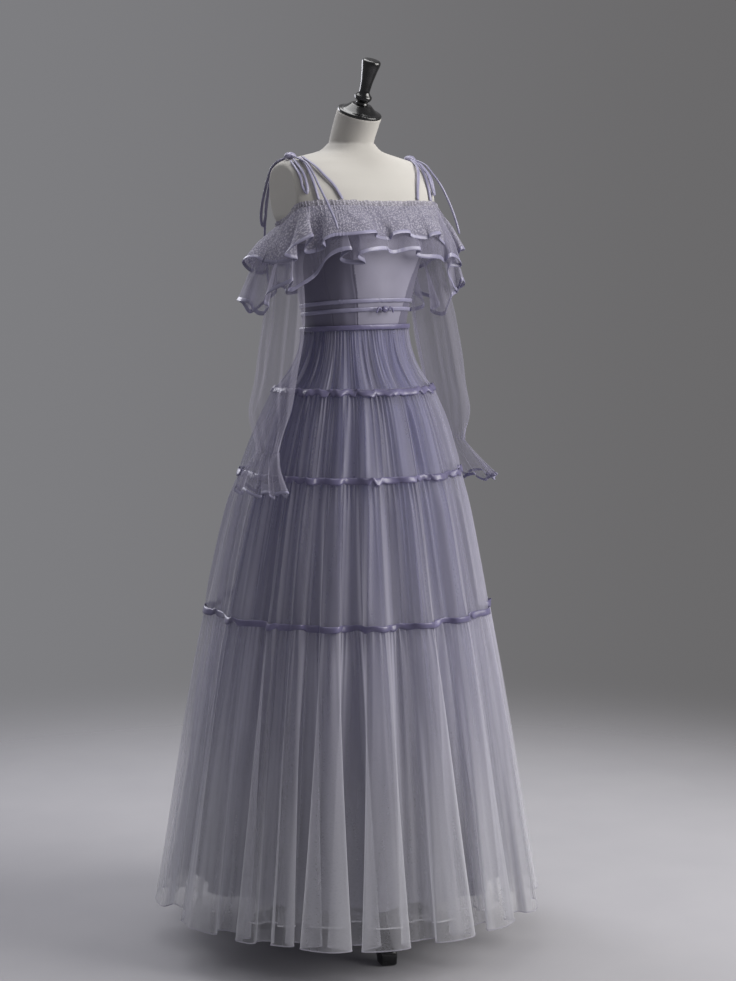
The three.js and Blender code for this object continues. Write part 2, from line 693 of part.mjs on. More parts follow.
// The part of each back loop that hangs free of the shoulder.
const LOOP_BACK = [[155, 94, 1516], [155, 99, 1482], [160, 101, 1466], [165.5, 99, 1482], [166, 92, 1516]];

function addTies(name, s) {
  const top = shoulderPoint(150, 90, 7.2);
  const knot = new THREE.SphereGeometry(6.6, 8, 5);
  knot.scale(1.9, 1.35, 1);
  add(`tie_knot_${name}`, knot.translate(s * top[0], top[1], top[2]), satin);
  Object.entries(STRAPS).forEach(([strap, rows]) => {
    add(`${strap}_${name}`, rod(overShoulder(s, rows), STRAP_RADIUS, 8, 5), satin);
  });
  const loopFront = overShoulder(s, [[156, 76, 4.8], [156.5, 48, 5.4], [156, 24, 5], [159.5, 14, 6], [163.5, 24, 5.4],
    [163.5, 46, 6.6], [162.5, 76, 5.2]]);
  add(`tie_loop_front_${name}`, rod(loopFront, STRAP_RADIUS, 12, 5), satin);
  const loopBack = [...overShoulder(s, [[155, 106, 4.5], [155, 128, 5.8]]),
    ...LOOP_BACK.map(([x, y, z]) => [s * x, y, z]),
    ...overShoulder(s, [[164, 128, 7], [162, 106, 5.4]])];
  add(`tie_loop_back_${name}`, rod(loopBack, STRAP_RADIUS, 14, 5), satin);
}

// The ends of the ties hang free, in front and behind. Their routes are chosen point by point.
const TAILS = {
  tie_tail_front: {
    right: [[-150, 10.6, 1602], [-149.8, -32, 1589.5], [-149.5, -56, 1568], [-149, -76, 1542], [-147, -95, 1516],
      [-145, -109, 1494], [-143, -120, 1476], [-142, -127, 1459]],
    left: [[150, 10.6, 1602], [149.8, -30, 1590.5], [152, -52, 1572], [164, -66, 1547], [175, -74, 1520],
      [184, -80, 1494], [191, -84, 1470], [196, -86, 1450]],
  },
  tie_tail_back: {
    right: [[-150, 30.4, 1602], [-148.5, 72, 1587], [-148, 92, 1557], [-147, 102, 1522], [-147, 110, 1482],
      [-141, 122, 1447], [-133, 131, 1412], [-127, 135, 1382], [-123, 136, 1352]],
    left: [[150, 30.4, 1602], [148.5, 72, 1587], [148, 92, 1557], [147, 102, 1522], [147, 110, 1487],
      [147, 122, 1447], [148, 133, 1414], [148, 137, 1387]],
  },
};

function addTails() {
  Object.entries(TAILS).forEach(([tail, sides]) => {
    Object.entries(sides).forEach(([name, route]) => add(`${tail}_${name}`, rod(route, STRAP_RADIUS, 12, 6), satin));
  });
}

// ---------- the whole ----------

addForm();
addStand();
addBodice();
addWaist();
addSkirt();
addRuffles();
addSleeves();
addTies('left', 1);
addTies('right', -1);
addTails();

// The origin is on the floor under the middle of the whole, leaving out the free ends of the ties.
dress.updateMatrixWorld(true);
const box = new THREE.Box3();
dress.traverse((piece) => {
  if (piece.isMesh && !piece.name.startsWith('tie_tail')) box.expandByObject(piece, true);
});
dress.position.set(-(box.min.x + box.max.x) / 2, -(box.min.y + box.max.y) / 2, -box.min.z);

export default dress;
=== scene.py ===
# %% [markdown]
# # An a-line prom dress on a dress form
#
# The dress is sheer net, called tulle, gathered into four tiers over a second net skirt and an opaque lining.
# It hangs on a limbless dress form with a tripod stand. Net has no thickness that the eye can see, so what
# makes it look real is its folds and how many layers lie behind each other. Each piece of net is therefore a
# single surface, worked out as a function of the angle round the body and the height. The bodice, the bands
# and the ribbons are given a thickness, and the straps and ties are tubes.

# %% Load the frame
import math

import bmesh
import bpy
import numpy as np
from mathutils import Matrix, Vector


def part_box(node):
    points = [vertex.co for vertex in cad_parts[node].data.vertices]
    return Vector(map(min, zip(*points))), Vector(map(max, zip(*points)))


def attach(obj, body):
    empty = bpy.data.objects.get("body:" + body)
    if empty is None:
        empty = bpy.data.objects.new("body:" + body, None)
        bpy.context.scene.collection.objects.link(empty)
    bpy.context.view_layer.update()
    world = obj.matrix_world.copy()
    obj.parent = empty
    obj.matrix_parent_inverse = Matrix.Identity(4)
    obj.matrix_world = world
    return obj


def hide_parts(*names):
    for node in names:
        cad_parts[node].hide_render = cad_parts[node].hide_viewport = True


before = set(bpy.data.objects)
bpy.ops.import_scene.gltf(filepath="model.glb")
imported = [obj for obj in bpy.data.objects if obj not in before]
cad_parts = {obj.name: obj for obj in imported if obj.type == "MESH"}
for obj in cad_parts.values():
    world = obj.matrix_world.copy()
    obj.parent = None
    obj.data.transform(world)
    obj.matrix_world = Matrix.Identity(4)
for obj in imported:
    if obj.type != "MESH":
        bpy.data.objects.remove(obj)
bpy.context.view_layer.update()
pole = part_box("stand_pole")
AXIS = np.array([(pole[0][0] + pole[1][0]) / 2, (pole[0][1] + pole[1][1]) / 2, 0.0])

# %% [markdown]
# ## The camera
#
# The dress is seen from its right front, from about the height of the bust, with a long lens that keeps the
# upright lines nearly parallel. The camera looks slightly down, so the lens needs no shift.

# %% Camera
CAMERA_AZIMUTH = math.radians(37)   # from straight in front, towards the wearer's right
CAMERA_AWAY = 4.40                  # metres from the pole
CAMERA_HEIGHT = 1.447
CAMERA_DOWN = math.radians(6.7)
CAMERA_TURN = math.radians(0.29)

camera_data = bpy.data.cameras.new("camera")
camera_data.lens, camera_data.sensor_width = 79.7, 36
camera = bpy.data.objects.new("camera", camera_data)
bpy.context.collection.objects.link(camera)
camera.location = (
    AXIS[0] - math.sin(CAMERA_AZIMUTH) * CAMERA_AWAY,
    AXIS[1] - math.cos(CAMERA_AZIMUTH) * CAMERA_AWAY,
    CAMERA_HEIGHT,
)
camera.rotation_euler = (math.radians(90) - CAMERA_DOWN, 0, -(CAMERA_AZIMUTH + CAMERA_TURN))
bpy.context.scene.camera = camera
print("camera at", [round(v, 2) for v in camera.location])

# %% [markdown]
# ## Grids, colours and nodes
#
# A cloth surface is a grid of points: its columns run round the body, or along a ribbon, and its rows run down.
# numpy works out all the points at once. The sizes below are in millimetres in the dress's own frame, with the
# pole as the vertical axis, and one function brings them to metres beside the frame's other nodes.


# %% Surface helper
def surface(name, points, wrap=True, size=None):
    """A mesh of quads through a grid of points (rows, columns, 3), in millimetres from the pole's axis.

    Neighbouring points of the grid are joined; wrap joins the last column to the first. Rows run down and
    columns run anticlockwise as seen from above, so the faces point outwards. The UV map counts metres: u is
    the column's share of size[0] and v the row's share of size[1], which are given in millimetres."""
    points = np.asarray(points, float)
    rows, columns = points.shape[:2]
    across = columns if wrap else columns - 1
    i, j = np.meshgrid(np.arange(rows - 1), np.arange(across), indexing="ij")
    k = (j + 1) % columns
    corners = [i * columns + j, (i + 1) * columns + j, (i + 1) * columns + k, i * columns + k]
    faces = np.stack(corners, -1).reshape(-1, 4)
    mesh = bpy.data.meshes.new(name)
    mesh.vertices.add(rows * columns)
    mesh.vertices.foreach_set("co", (points / 1000 + AXIS).reshape(-1).astype(np.float32))
    mesh.loops.add(faces.size)
    mesh.loops.foreach_set("vertex_index", faces.reshape(-1).astype(np.int32))
    mesh.polygons.add(len(faces))
    mesh.polygons.foreach_set("loop_start", np.arange(0, faces.size, 4, dtype=np.int32))
    mesh.update(calc_edges=True)
    mesh.validate()
    mesh.polygons.foreach_set("use_smooth", np.ones(len(mesh.polygons), bool))
    width, height = size or (1000, 1000)
    u = np.stack([j, j, j + 1, j + 1], -1) / across * width
    v = np.stack([i, i + 1, i + 1, i], -1) / (rows - 1) * height
    layer = mesh.uv_layers.new(name="cloth")
    layer.data.foreach_set("uv", np.stack([u, v], -1).reshape(-1).astype(np.float32) / 1000)
    piece = bpy.data.objects.new(name, mesh)
    bpy.context.collection.objects.link(piece)
    return piece


def faces_out(points):
    """Unit normals of a closed grid, facing away from what it covers: the step down crossed with the
    step along."""
    along = np.roll(points, -1, 1) - np.roll(points, 1, 1)
    normal = np.cross(np.gradient(points, axis=0), along)
    return normal / np.maximum(np.linalg.norm(normal, axis=-1, keepdims=True), 1e-9)


def steepness(points):
    """How far a gathered cloth turns away from the way it faces on the whole.

    It is one less the cosine between the cloth's own normal and the mean normal of the same row, over a
    twenty-fourth of a turn to each side."""
    normal = faces_out(points)
    reach = points.shape[1] // 24
    total = np.cumsum(np.concatenate([normal[:, -reach - 1:], normal, normal[:, :reach]], 1), 1)
    mean = total[:, 2 * reach + 1:] - total[:, :-2 * reach - 1]
    mean /= np.maximum(np.linalg.norm(mean, axis=-1, keepdims=True), 1e-9)
    return 1 - np.abs((normal * mean).sum(-1))


def make(name, points, material, replaces=(), wrap=True, size=None, gathered=False):
    """A surface with its material, riding on the one body, that stands for the named nodes.

    Gathered cloth carries its steepness as an attribute, for the net's shader."""
    piece = surface(name, points, wrap, size)
    if gathered:
        piece.data.attributes.new("steep", "FLOAT", "POINT").data.foreach_set(
            "value", steepness(np.asarray(points, float)).reshape(-1).astype(np.float32))
    piece.data.materials.append(material)
    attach(piece, "root")
    if replaces:
        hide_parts(*replaces)
    return piece


def thicken(piece, thickness):
    """Gives opaque cloth its real thickness, in millimetres, outwards from the surface, with a rim."""
    wall = piece.modifiers.new("cloth thickness", "SOLIDIFY")
    wall.thickness, wall.offset = thickness / 1000, 1.0
    return piece


# %% Colour and node helpers
def colour(hexed):
    """An sRGB hex value as linear light: each channel to the power 2.4 above the small straight part."""
    channels = [int(hexed[k:k + 2], 16) / 255 for k in (1, 3, 5)]
    return tuple(c / 12.92 if c <= 0.04045 else ((c + 0.055) / 1.055) ** 2.4 for c in channels) + (1.0,)


def node(tree, kind, inputs=None, **settings):
    """Adds a shader node, sets its properties, and fills inputs, where another node's socket becomes a link."""
    made = tree.nodes.new("ShaderNode" + kind)
    for name, value in settings.items():
        setattr(made, name, value)
    for name, value in (inputs or {}).items():
        if isinstance(value, bpy.types.NodeSocket):
            tree.links.new(value, made.inputs[name])
        else:
            made.inputs[name].default_value = value
    return made


def new_material(name):
    """An empty material with its output node."""
    material = bpy.data.materials.new(name)
    material.use_nodes = True
    material.node_tree.nodes.clear()
    return material, material.node_tree, node(material.node_tree, "OutputMaterial")


print("helpers ready")

# %% [markdown]
# ## Tulle
#
# Tulle is a hexagonal net of very fine nylon. From a step away the holes can't be told apart: it looks like a
# haze of its own colour over whatever is behind it, and it passes light on to the layers inside. So the shader
# mixes clear with cloth, and the cloth is part lit from the front and part shining through. On the wall of a
# fold the eye looks through more thread, so each gathered surface carries how steeply it stands, and that adds
# cover. The real mesh is 1.2 mm, and its pattern is drawn at 4 mm so that a trace of it still shows.


# %% Sheer cloth and the tulle material
def sheer(tree, out, tint, amount, glow, finish):
    """Clear and cloth, mixed by amount. The cloth is lit from the front, and a share, glow, shines through."""
    front = node(tree, "BsdfPrincipled", {"Base Color": tint, **finish})
    through = node(tree, "BsdfTranslucent", {"Color": tint})
    cloth = node(tree, "MixShader", {0: glow, 1: front.outputs[0], 2: through.outputs[0]})
    clear = node(tree, "BsdfTransparent")
    mixed = node(tree, "MixShader", {0: amount, 1: clear.outputs[0], 2: cloth.outputs[0]})
    tree.links.new(mixed.outputs[0], out.inputs["Surface"])


def tulle(name, hexed, cover, edge, glow=0.35, mesh_mm=4.0, low_hex=None, low_z=(0.1, 1.2), uneven=0.11):
    """Clear and cloth, mixed by cover, and by edge more where the net stands steep in a fold.

    The colour runs from low_hex at height low_z[0] to hexed at low_z[1], in metres, and a slow noise makes some
    gathers hold more net than others."""
    material, tree, out = new_material(name)
    place = node(tree, "TexCoord").outputs["Object"]
    height = node(tree, "SeparateXYZ", {"Vector": place}).outputs["Z"]
    share = node(tree, "MapRange", {"Value": height, "From Min": low_z[0], "From Max": low_z[1]},
                 interpolation_type="SMOOTHSTEP")
    tint = node(tree, "Mix", {"Factor": share.outputs["Result"]}, data_type="RGBA")
    tint.inputs[6].default_value = colour(low_hex or hexed)
    tint.inputs[7].default_value = colour(hexed)
    uv = node(tree, "UVMap", uv_map="cloth").outputs["UV"]
    gather = node(tree, "TexNoise", {
        "Vector": node(tree, "Mapping", {"Vector": uv, "Scale": (26, 1.8, 1)}).outputs["Vector"],
        "Scale": 1.0, "Detail": 2.0, "Roughness": 0.55})
    paler = node(tree, "MapRange", {"Value": gather.outputs["Fac"], "From Min": 0.3, "From Max": 0.7,
                                    "To Min": 0.90, "To Max": 1.04})
    tint = node(tree, "HueSaturation", {"Color": tint.outputs[2], "Value": paler.outputs["Result"]})
    cells = node(tree, "TexVoronoi", {"Vector": uv, "Scale": 1000 / mesh_mm}, feature="DISTANCE_TO_EDGE")
    threads = node(tree, "MapRange", {"Value": cells.outputs["Distance"], "From Min": 0.0, "From Max": 0.35,
                                      "To Min": 0.02, "To Max": -0.008})
    steep = node(tree, "Attribute", attribute_name="steep").outputs["Fac"]
    dense = node(tree, "Math", {0: steep, 1: edge, 2: cover}, operation="MULTIPLY_ADD")
    more = node(tree, "MapRange", {"Value": gather.outputs["Fac"], "From Min": 0.3, "From Max": 0.7,
                                   "To Min": -uneven, "To Max": uneven})
    total = node(tree, "Math", {0: dense.outputs[0], 1: more.outputs["Result"]}, operation="ADD")
    total = node(tree, "Math", {0: total.outputs[0], 1: threads.outputs["Result"]}, operation="ADD",
                 use_clamp=True)
    sheer(tree, out, tint.outputs[0], total.outputs[0], glow,
          {"Roughness": 0.75, "Sheen Weight": 0.35, "Sheen Roughness": 0.4, "Specular IOR Level": 0.15})
    return material


UPPER_TULLE = tulle("lilac_nylon_tulle", "#b3b1c4", 0.36, 0.50, low_hex="#c6c4d2", low_z=(0.62, 1.2),
                    uneven=0.16)
HEM_TULLE = tulle("pale_nylon_tulle", "#d0cedd", 0.32, 0.60, low_hex="#dfdfe6", low_z=(0.1, 0.7), uneven=0.15)
INNER_TULLE = tulle("inner_nylon_tulle", "#aaa8bd", 0.28, 0.50, low_hex="#dadae0", low_z=(0.15, 0.9))
SLEEVE_TULLE = tulle("sleeve_nylon_tulle", "#aeabbd", 0.27, 0.55, uneven=0.05)
RUFFLE_TULLE = tulle("ruffle_nylon_tulle", "#aaa7bb", 0.40, 0.45, uneven=0.06)
print("tulle materials", [m.name for m in (UPPER_TULLE, HEM_TULLE, INNER_TULLE, SLEEVE_TULLE, RUFFLE_TULLE)])

# %% [markdown]
# ## Satin, bodice cloth and lining
#
# The ribbons are polyester satin: long floats of smooth yarn lie on the face, so it has a soft sheen along
# them and shows every dent. The bodice is a duller crepe satin, the lining a plain acetate, and the form's
# cover a linen. The yarns are a quarter to half a millimetre apart, drawn at 1.5 or 2 mm so that they show.


# %% Woven materials
ONE_A_MILLIMETRE = 314  # the wave texture's scale at which its bands lie a millimetre apart


def woven(name, hexed, roughness, sheen, yarn_mm, depth, tone_and_painted_sheen=0.25, low_hex=None, low_z=(0.1, 1.2), coat=0.0):
    """A woven cloth: two crossed waves make the yarn bumps, and a slow noise moves colour and roughness. Its
    darkening is random tone, and where it is strong, on the satins, it is painted sheen.
    """
    material, tree, out = new_material(name)
    place = node(tree, "TexCoord").outputs["Object"]
    uv = node(tree, "UVMap", uv_map="cloth").outputs["UV"]
    height = node(tree, "SeparateXYZ", {"Vector": place}).outputs["Z"]
    share = node(tree, "MapRange", {"Value": height, "From Min": low_z[0], "From Max": low_z[1]})
    base = node(tree, "Mix", {"Factor": share.outputs["Result"]}, data_type="RGBA")
    base.inputs[6].default_value, base.inputs[7].default_value = colour(low_hex or hexed), colour(hexed)
    slow = node(tree, "TexNoise", {"Vector": place, "Scale": 28.0, "Detail": 3.0})
    dark = node(tree, "MapRange", {"Value": slow.outputs["Fac"], "To Min": 1 - tone_and_painted_sheen, "To Max": 1.0})
    tint = node(tree, "HueSaturation", {"Color": base.outputs[2], "Value": dark.outputs["Result"]})
    waves = [node(tree, "TexWave", {"Vector": uv, "Scale": ONE_A_MILLIMETRE / yarn_mm, "Distortion": 0.6,
                                    "Detail": 1.0}, bands_direction=way).outputs["Fac"] for way in "XY"]
    weave = node(tree, "Math", {0: waves[0], 1: waves[1]}, operation="MULTIPLY")
    both = node(tree, "Math", {0: slow.outputs["Fac"], 1: 0.8, 2: weave.outputs[0]},
                operation="MULTIPLY_ADD")
    bump = node(tree, "Bump", {"Height": both.outputs[0], "Strength": 0.35, "Distance": depth / 1000})
    shine = node(tree, "MapRange", {"Value": slow.outputs["Fac"], "To Min": roughness - 0.08,
                                    "To Max": roughness + 0.08})
    shader = node(tree, "BsdfPrincipled", {
        "Base Color": tint.outputs[0], "Roughness": shine.outputs["Result"], "Normal": bump.outputs[0],
        "Sheen Weight": sheen, "Sheen Roughness": 0.35, "Coat Weight": coat, "Coat Roughness": 0.3})
    tree.links.new(shader.outputs[0], out.inputs["Surface"])
    return material


# on both satins the slow noise darkens strongly: painted sheen, light and dark lengths where a ribbon's sheen
# turns
SATIN = woven("lilac_polyester_satin", "#a5a2c0", 0.36, 0.20, 1.5, 0.10, tone_and_painted_sheen=0.55, coat=0.10)
DARK_SATIN = woven("violet_polyester_satin", "#7d789e", 0.34, 0.20, 1.5, 0.10, tone_and_painted_sheen=0.6, coat=0.12)
BODICE = woven("lilac_crepe_satin", "#9592a5", 0.55, 0.25, 1.5, 0.15, tone_and_painted_sheen=0.12)
# a darker copy of the same crepe satin: painted shade for the bodice's side panels
SHADED_BODICE = woven("lilac_crepe_satin_painted_shade", "#6d6a7e", 0.55, 0.20, 1.5, 0.15, tone_and_painted_sheen=0.15)
LINING = woven("lavender_acetate_lining", "#595998", 0.50, 0.20, 1.5, 0.15, tone_and_painted_sheen=0.15,
               low_hex="#a4a3b0", low_z=(0.3, 1.05))
LINEN = woven("off_white_linen", "#c1beb9", 0.85, 0.10, 2.0, 0.25, tone_and_painted_sheen=0.06)
print("woven materials", [m.name for m in (SATIN, DARK_SATIN, BODICE, SHADED_BODICE, LINING, LINEN)])

# %% [markdown]
# ## Lace
#
# The upper ruffle is a crinkled lace on net: little raised motifs a few millimetres across with clear net
# between them. Cells of a Voronoi pattern make the motifs. They are raised with a bump and nearly opaque,
# and the net between them lets the darker cloth show.


# %% Lace material
def lace(name, thread_hex, net_hex, motif_mm, cover):
    """Nearly opaque motifs on a sheer net: distance from each cell's centre gives the motif, noise frays it."""
    material, tree, out = new_material(name)
    uv = node(tree, "UVMap", uv_map="cloth").outputs["UV"]
    bend = node(tree, "TexNoise", {"Vector": uv, "Scale": 1000 / motif_mm * 0.9, "Detail": 2.0})
    moved = node(tree, "VectorMath", {0: bend.outputs["Color"], 1: (motif_mm / 1500,) * 3, 2: uv},
                 operation="MULTIPLY_ADD")
    cells = node(tree, "TexVoronoi", {"Vector": moved.outputs[0], "Scale": 1000 / motif_mm})
    motif = node(tree, "MapRange", {"Value": cells.outputs["Distance"], "From Min": 0.55,
                                    "From Max": 0.28}, interpolation_type="SMOOTHSTEP")
    tint = node(tree, "Mix", {"Factor": motif.outputs["Result"]}, data_type="RGBA")
    tint.inputs[6].default_value, tint.inputs[7].default_value = colour(net_hex), colour(thread_hex)
    steep = node(tree, "Attribute", attribute_name="steep").outputs["Fac"]
    net = node(tree, "Math", {0: steep, 1: 0.3, 2: cover}, operation="MULTIPLY_ADD")
    total = node(tree, "Math", {0: motif.outputs["Result"], 1: 0.34, 2: net.outputs[0]},
                 operation="MULTIPLY_ADD", use_clamp=True)
    bump = node(tree, "Bump", {"Height": motif.outputs["Result"], "Strength": 0.55, "Distance": 0.0008})
    sheer(tree, out, tint.outputs[2], total.outputs[0], 0.25,
          {"Roughness": 0.7, "Normal": bump.outputs[0], "Sheen Weight": 0.3, "Specular IOR Level": 0.2})
    return material


LACE = lace("crinkled_nylon_lace", "#bdbac8", "#9f9caf", 3.6, 0.58)
print("lace material", LACE.name)

# %% [markdown]
# ## The stage and the light
#
# The studio is an even mid grey. Its floor is pale and fades into the grey behind. The main light is a broad
# soft panel to the right of the dress, a little in front of it and a little higher. A second, weaker one
# stands behind on the left, and a third hangs overhead. The grey walls, a little lighter on the left, fill the
# shadows.

# %% Floor
def stage_floor():
    """A pale disc whose cover falls smoothly from the middle to the rim, so that it has no edge."""
    turns = np.radians(np.arange(96) * 3.75)
    radii = np.array([1, 400, 800, 1200, 1600, 2000, 2400, 2800, 3200.0])[:, None]
    points = np.stack([radii * np.sin(turns), -radii * np.cos(turns), np.full((9, 96), -1.0)], -1)
    floor = surface("studio_floor", points)
    material, tree, out = new_material("pale_studio_floor")
    place = node(tree, "TexCoord").outputs["Object"]
    flat = node(tree, "VectorMath", {0: place, 1: (1, 1, 0)}, operation="MULTIPLY")
    away = node(tree, "VectorMath", {0: flat.outputs[0]}, operation="LENGTH")
    fade = node(tree, "MapRange", {"Value": away.outputs["Value"], "From Min": 2.9, "From Max": 0.9},
                interpolation_type="SMOOTHERSTEP")
    grain = node(tree, "TexNoise", {"Vector": place, "Scale": 5.0, "Detail": 3.0})
    tint = node(tree, "Mix", {"Factor": grain.outputs["Fac"]}, data_type="RGBA")
    tint.inputs[6].default_value, tint.inputs[7].default_value = colour("#aeadb2"), colour("#b6b5b9")
    matt = node(tree, "BsdfDiffuse", {"Color": tint.outputs[2]})
    clear = node(tree, "BsdfTransparent")
    mixed = node(tree, "MixShader", {0: fade.outputs["Result"], 1: clear.outputs[0], 2: matt.outputs[0]})
    tree.links.new(mixed.outputs[0], out.inputs["Surface"])
    floor.data.materials.append(material)


stage_floor()


# %% Lights and world
def panel_light(name, right, away, up, size, power, hexed):
    """A square soft light at a place given beside, beyond and above the dress as the camera sees it."""
    side = np.array([math.cos(CAMERA_AZIMUTH), -math.sin(CAMERA_AZIMUTH), 0.0])
    ahead = np.array([math.sin(CAMERA_AZIMUTH), math.cos(CAMERA_AZIMUTH), 0.0])
    where = AXIS + side * right + ahead * away + np.array([0, 0, up])
    data = bpy.data.lights.new(name, "AREA")
    data.size, data.energy, data.color = size, power, colour(hexed)[:3]
    light = bpy.data.objects.new(name, data)
    bpy.context.collection.objects.link(light)
    light.location = where
    aim = np.array([AXIS[0], AXIS[1], 1.0]) - where
    flat = math.hypot(aim[0], aim[1])
    light.rotation_euler = (math.atan2(flat, -aim[2]), 0, math.atan2(-aim[0], aim[1]))


panel_light("key_panel", 3.0, -0.7, 2.4, 2.3, 130, "#fffdfa")
panel_light("rim_panel", -1.9, 2.4, 2.2, 1.6, 34, "#f6f6ff")
panel_light("top_panel", -0.3, 0.4, 3.6, 2.0, 44, "#ffffff")

world = bpy.data.worlds.new("grey_studio")
world.use_nodes = True
bpy.context.scene.world = world
sky = world.node_tree.nodes["Background"]
way = node(world.node_tree, "TexCoord").outputs["Generated"]
beside = (math.cos(CAMERA_AZIMUTH), -math.sin(CAMERA_AZIMUTH), 0.0)
lean = node(world.node_tree, "VectorMath", {0: way, 1: beside}, operation="DOT_PRODUCT")
across = node(world.node_tree, "MapRange", {"Value": lean.outputs["Value"], "From Min": -0.2, "From Max": 0.2},
              interpolation_type="SMOOTHSTEP")
wall = node(world.node_tree, "Mix", {"Factor": across.outputs["Result"]}, data_type="RGBA")
wall.inputs[6].default_value, wall.inputs[7].default_value = colour("#7e7e81"), colour("#6a696a")
world.node_tree.links.new(wall.outputs[2], sky.inputs["Color"])
sky.inputs["Strength"].default_value = 1.0
bpy.context.scene.view_settings.view_transform = "Standard"
bpy.context.scene.cycles.transparent_max_bounces = 24

# %% [markdown]
# ## The body under the cloth
#
# All the close-fitting pieces follow one shape: ovals, a little fuller than ellipses, whose sizes change with
# height. Angles go round from the centre front towards the wearer's left, in degrees. Two flat plates close the
# form where arms would be, so no section is wider than they are.


# %% Smooth tables
def gentle(slope):
    """Slopes at the points of a line from the slopes of its straight steps: the harmonic mean of the two beside
    each point, or nothing where they turn. Such a line never overshoots its points."""
    before, after = slope[:-1], slope[1:]
    steady = before * after > 0
    inner = np.where(steady, 2 * before * after / np.where(steady, before + after, 1), 0)
    return np.concatenate([slope[:1], inner, slope[-1:]])


def curve(places, values, at):
    """A cubic through table points, with gentle slopes."""
    places, values = np.asarray(places, float), np.asarray(values, float)
    if places[0] > places[-1]:
        places, values = places[::-1], values[::-1]
    step = np.diff(places)
    bend = gentle(np.diff(values) / step)
    at = np.clip(at, places[0], places[-1])
    i = np.clip(np.searchsorted(places, at, side="right") - 1, 0, len(step) - 1)
    t = (at - places[i]) / step[i]
    return (values[i] * (1 + 2 * t) * (1 - t) ** 2 + values[i + 1] * t * t * (3 - 2 * t)
            + step[i] * t * (1 - t) * (bend[i] * (1 - t) - bend[i + 1] * t))


# %% Sections of the body
PLATE = 172                     # half the width between the plates that close the arms, in mm
OVAL_POWER = 2.3                # the shares of width and depth, to this power, add up to 1; 2 is an ellipse
FULLNESS = 2 / OVAL_POWER       # the power of the sine and cosine that gives such an oval
BUST = 1427                     # heights in mm
WAIST, WAIST_TILT = 1261, 0.07  # the waist seam rises to the front by the tilt for each millimetre
LOWER_BAND, UPPER_BAND, BAND_TILT = 1293, 1310, 0.11
NECK_TOP = 1628
BUST_SIDE, BUST_WIDE, BUST_TALL, BUST_OUT = 78, 46, 54, 14  # place beside the middle, spreads and depth
# height, half width, place of the widest line, depth to the front, depth to the back
BODY = np.array([
    (975, 150, 10, 100, 105), (1054, 163, 12, 108, 116), (1152, 137, 10, 94, 98), (1256, 106, 8, 81, 79),
    (1341, 119, 8, 98, 88), (1427, 138, 8, 108, 93), (1447, 151, 9, 107, 94), (1467, 168, 10, 105, 94),
    (1488, 182, 11, 102, 93), (1532, 191, 15, 92, 89), (1566, 189, 20, 76, 77), (1591, 164, 22, 58, 62),
    (1603, 118, 22, 50, 54), (1616, 64, 21, 47, 49), (NECK_TOP, 48, 20, 45, 45)], float)


def section(z):
    """Half width, middle, front and back depth of the body at a height."""
    return [curve(BODY[:, 0], BODY[:, k], z) for k in (1, 2, 3, 4)]


def oval_point(sizes, phi, z):
    """x is the half width times the sine, and y the depth times the cosine, each raised to the fullness; two
    bell curves add the bust."""
    side, middle, front, back = sizes
    s, c = np.sin(np.radians(phi)), np.cos(np.radians(phi))
    x = side * np.sign(s) * np.abs(s) ** FULLNESS
    y = middle - np.where(c > 0, front, back) * np.sign(c) * np.abs(c) ** FULLNESS
    bells = np.exp(-((x - BUST_SIDE) / BUST_WIDE) ** 2) + np.exp(-((x + BUST_SIDE) / BUST_WIDE) ** 2)
    out = BUST_OUT * bells * np.exp(-((z - BUST) / BUST_TALL) ** 2) * np.minimum(1, 2 * c)
    y = y - np.where(c > 0, out, 0)
    return np.clip(x, -PLATE, PLATE), y


def oval_offset(sizes, phi, z, gap):
    """The oval's point moved straight out: along the normal to the chord between its neighbours."""
    x, y = oval_point(sizes, phi, z)
    x0, y0 = oval_point(sizes, phi - 2, z)
    x1, y1 = oval_point(sizes, phi + 2, z)
    dx, dy = x1 - x0, y1 - y0
    chord = np.hypot(dx, dy)
    return x + gap * dy / chord, y - gap * dx / chord


def on_body(phi, z, gap):
    """Points on the body at angles and heights, moved out by a gap."""
    phi, z, gap = np.broadcast_arrays(np.asarray(phi, float), np.asarray(z, float), np.asarray(gap, float))
    x, y = oval_offset(section(z), phi, z, gap)
    return np.stack([x, y, z], -1)


def on_tilted_line(phi, z, tilt, gap):
    """A line round the body that rises by tilt for each millimetre towards the front."""
    return on_body(phi, z - tilt * on_body(phi, z, 0)[..., 1], gap)


def hanging(phi, z, top, gap):
    """Cloth that falls free from a height: outside the widest of the seven sections that it has passed. Below
    the bust it keeps the bust's fullness."""
    phi, z, top, gap = np.broadcast_arrays(*(np.asarray(v, float) for v in (phi, z, top, gap)))
    passed = [section(z + (top - z) * k / 6) for k in range(7)]
    middle = passed[6][1]
    sizes = (np.maximum(PLATE, np.max([p[0] for p in passed], 0)), middle,
             np.max([p[2] - p[1] + middle for p in passed], 0),
             np.max([p[3] + p[1] - middle for p in passed], 0))
    x, y = oval_offset(sizes, phi, np.maximum(z, BUST), gap)
    return np.stack([x, y, z], -1)


waist_line = on_body(np.arange(0, 361.0), WAIST, 0)[:, :2]
print("waist round", round(float(np.hypot(*np.diff(waist_line, axis=0).T).sum())), "mm")

# %% [markdown]
# ## How tulle gathers
#
# A tier is a straight strip, pulled up on a thread until it is as long as the seam above it. Right under the
# seam it makes many small sharp pleats. A hand's breadth lower they have joined into fewer, softer ones, and
# these ride on the skirt's large standing folds. Near the hem a large fold doubles back on itself, and the net
# is seen three times, which is what draws the bright upright bands.


# %% Waves round the skirt
def wander(phi, lowest, highest, seed):
    """Closed noise round the body: cosines of whole numbers of waves, with seeded sizes and starts."""
    rng = np.random.default_rng(seed)
    waves = np.arange(lowest, highest + 1)
    sizes, starts = rng.normal(size=waves.size) / math.sqrt(waves.size), rng.uniform(0, 2 * math.pi, waves.size)
    return (sizes * np.cos(np.radians(phi)[..., None] * waves + starts)).sum(-1)


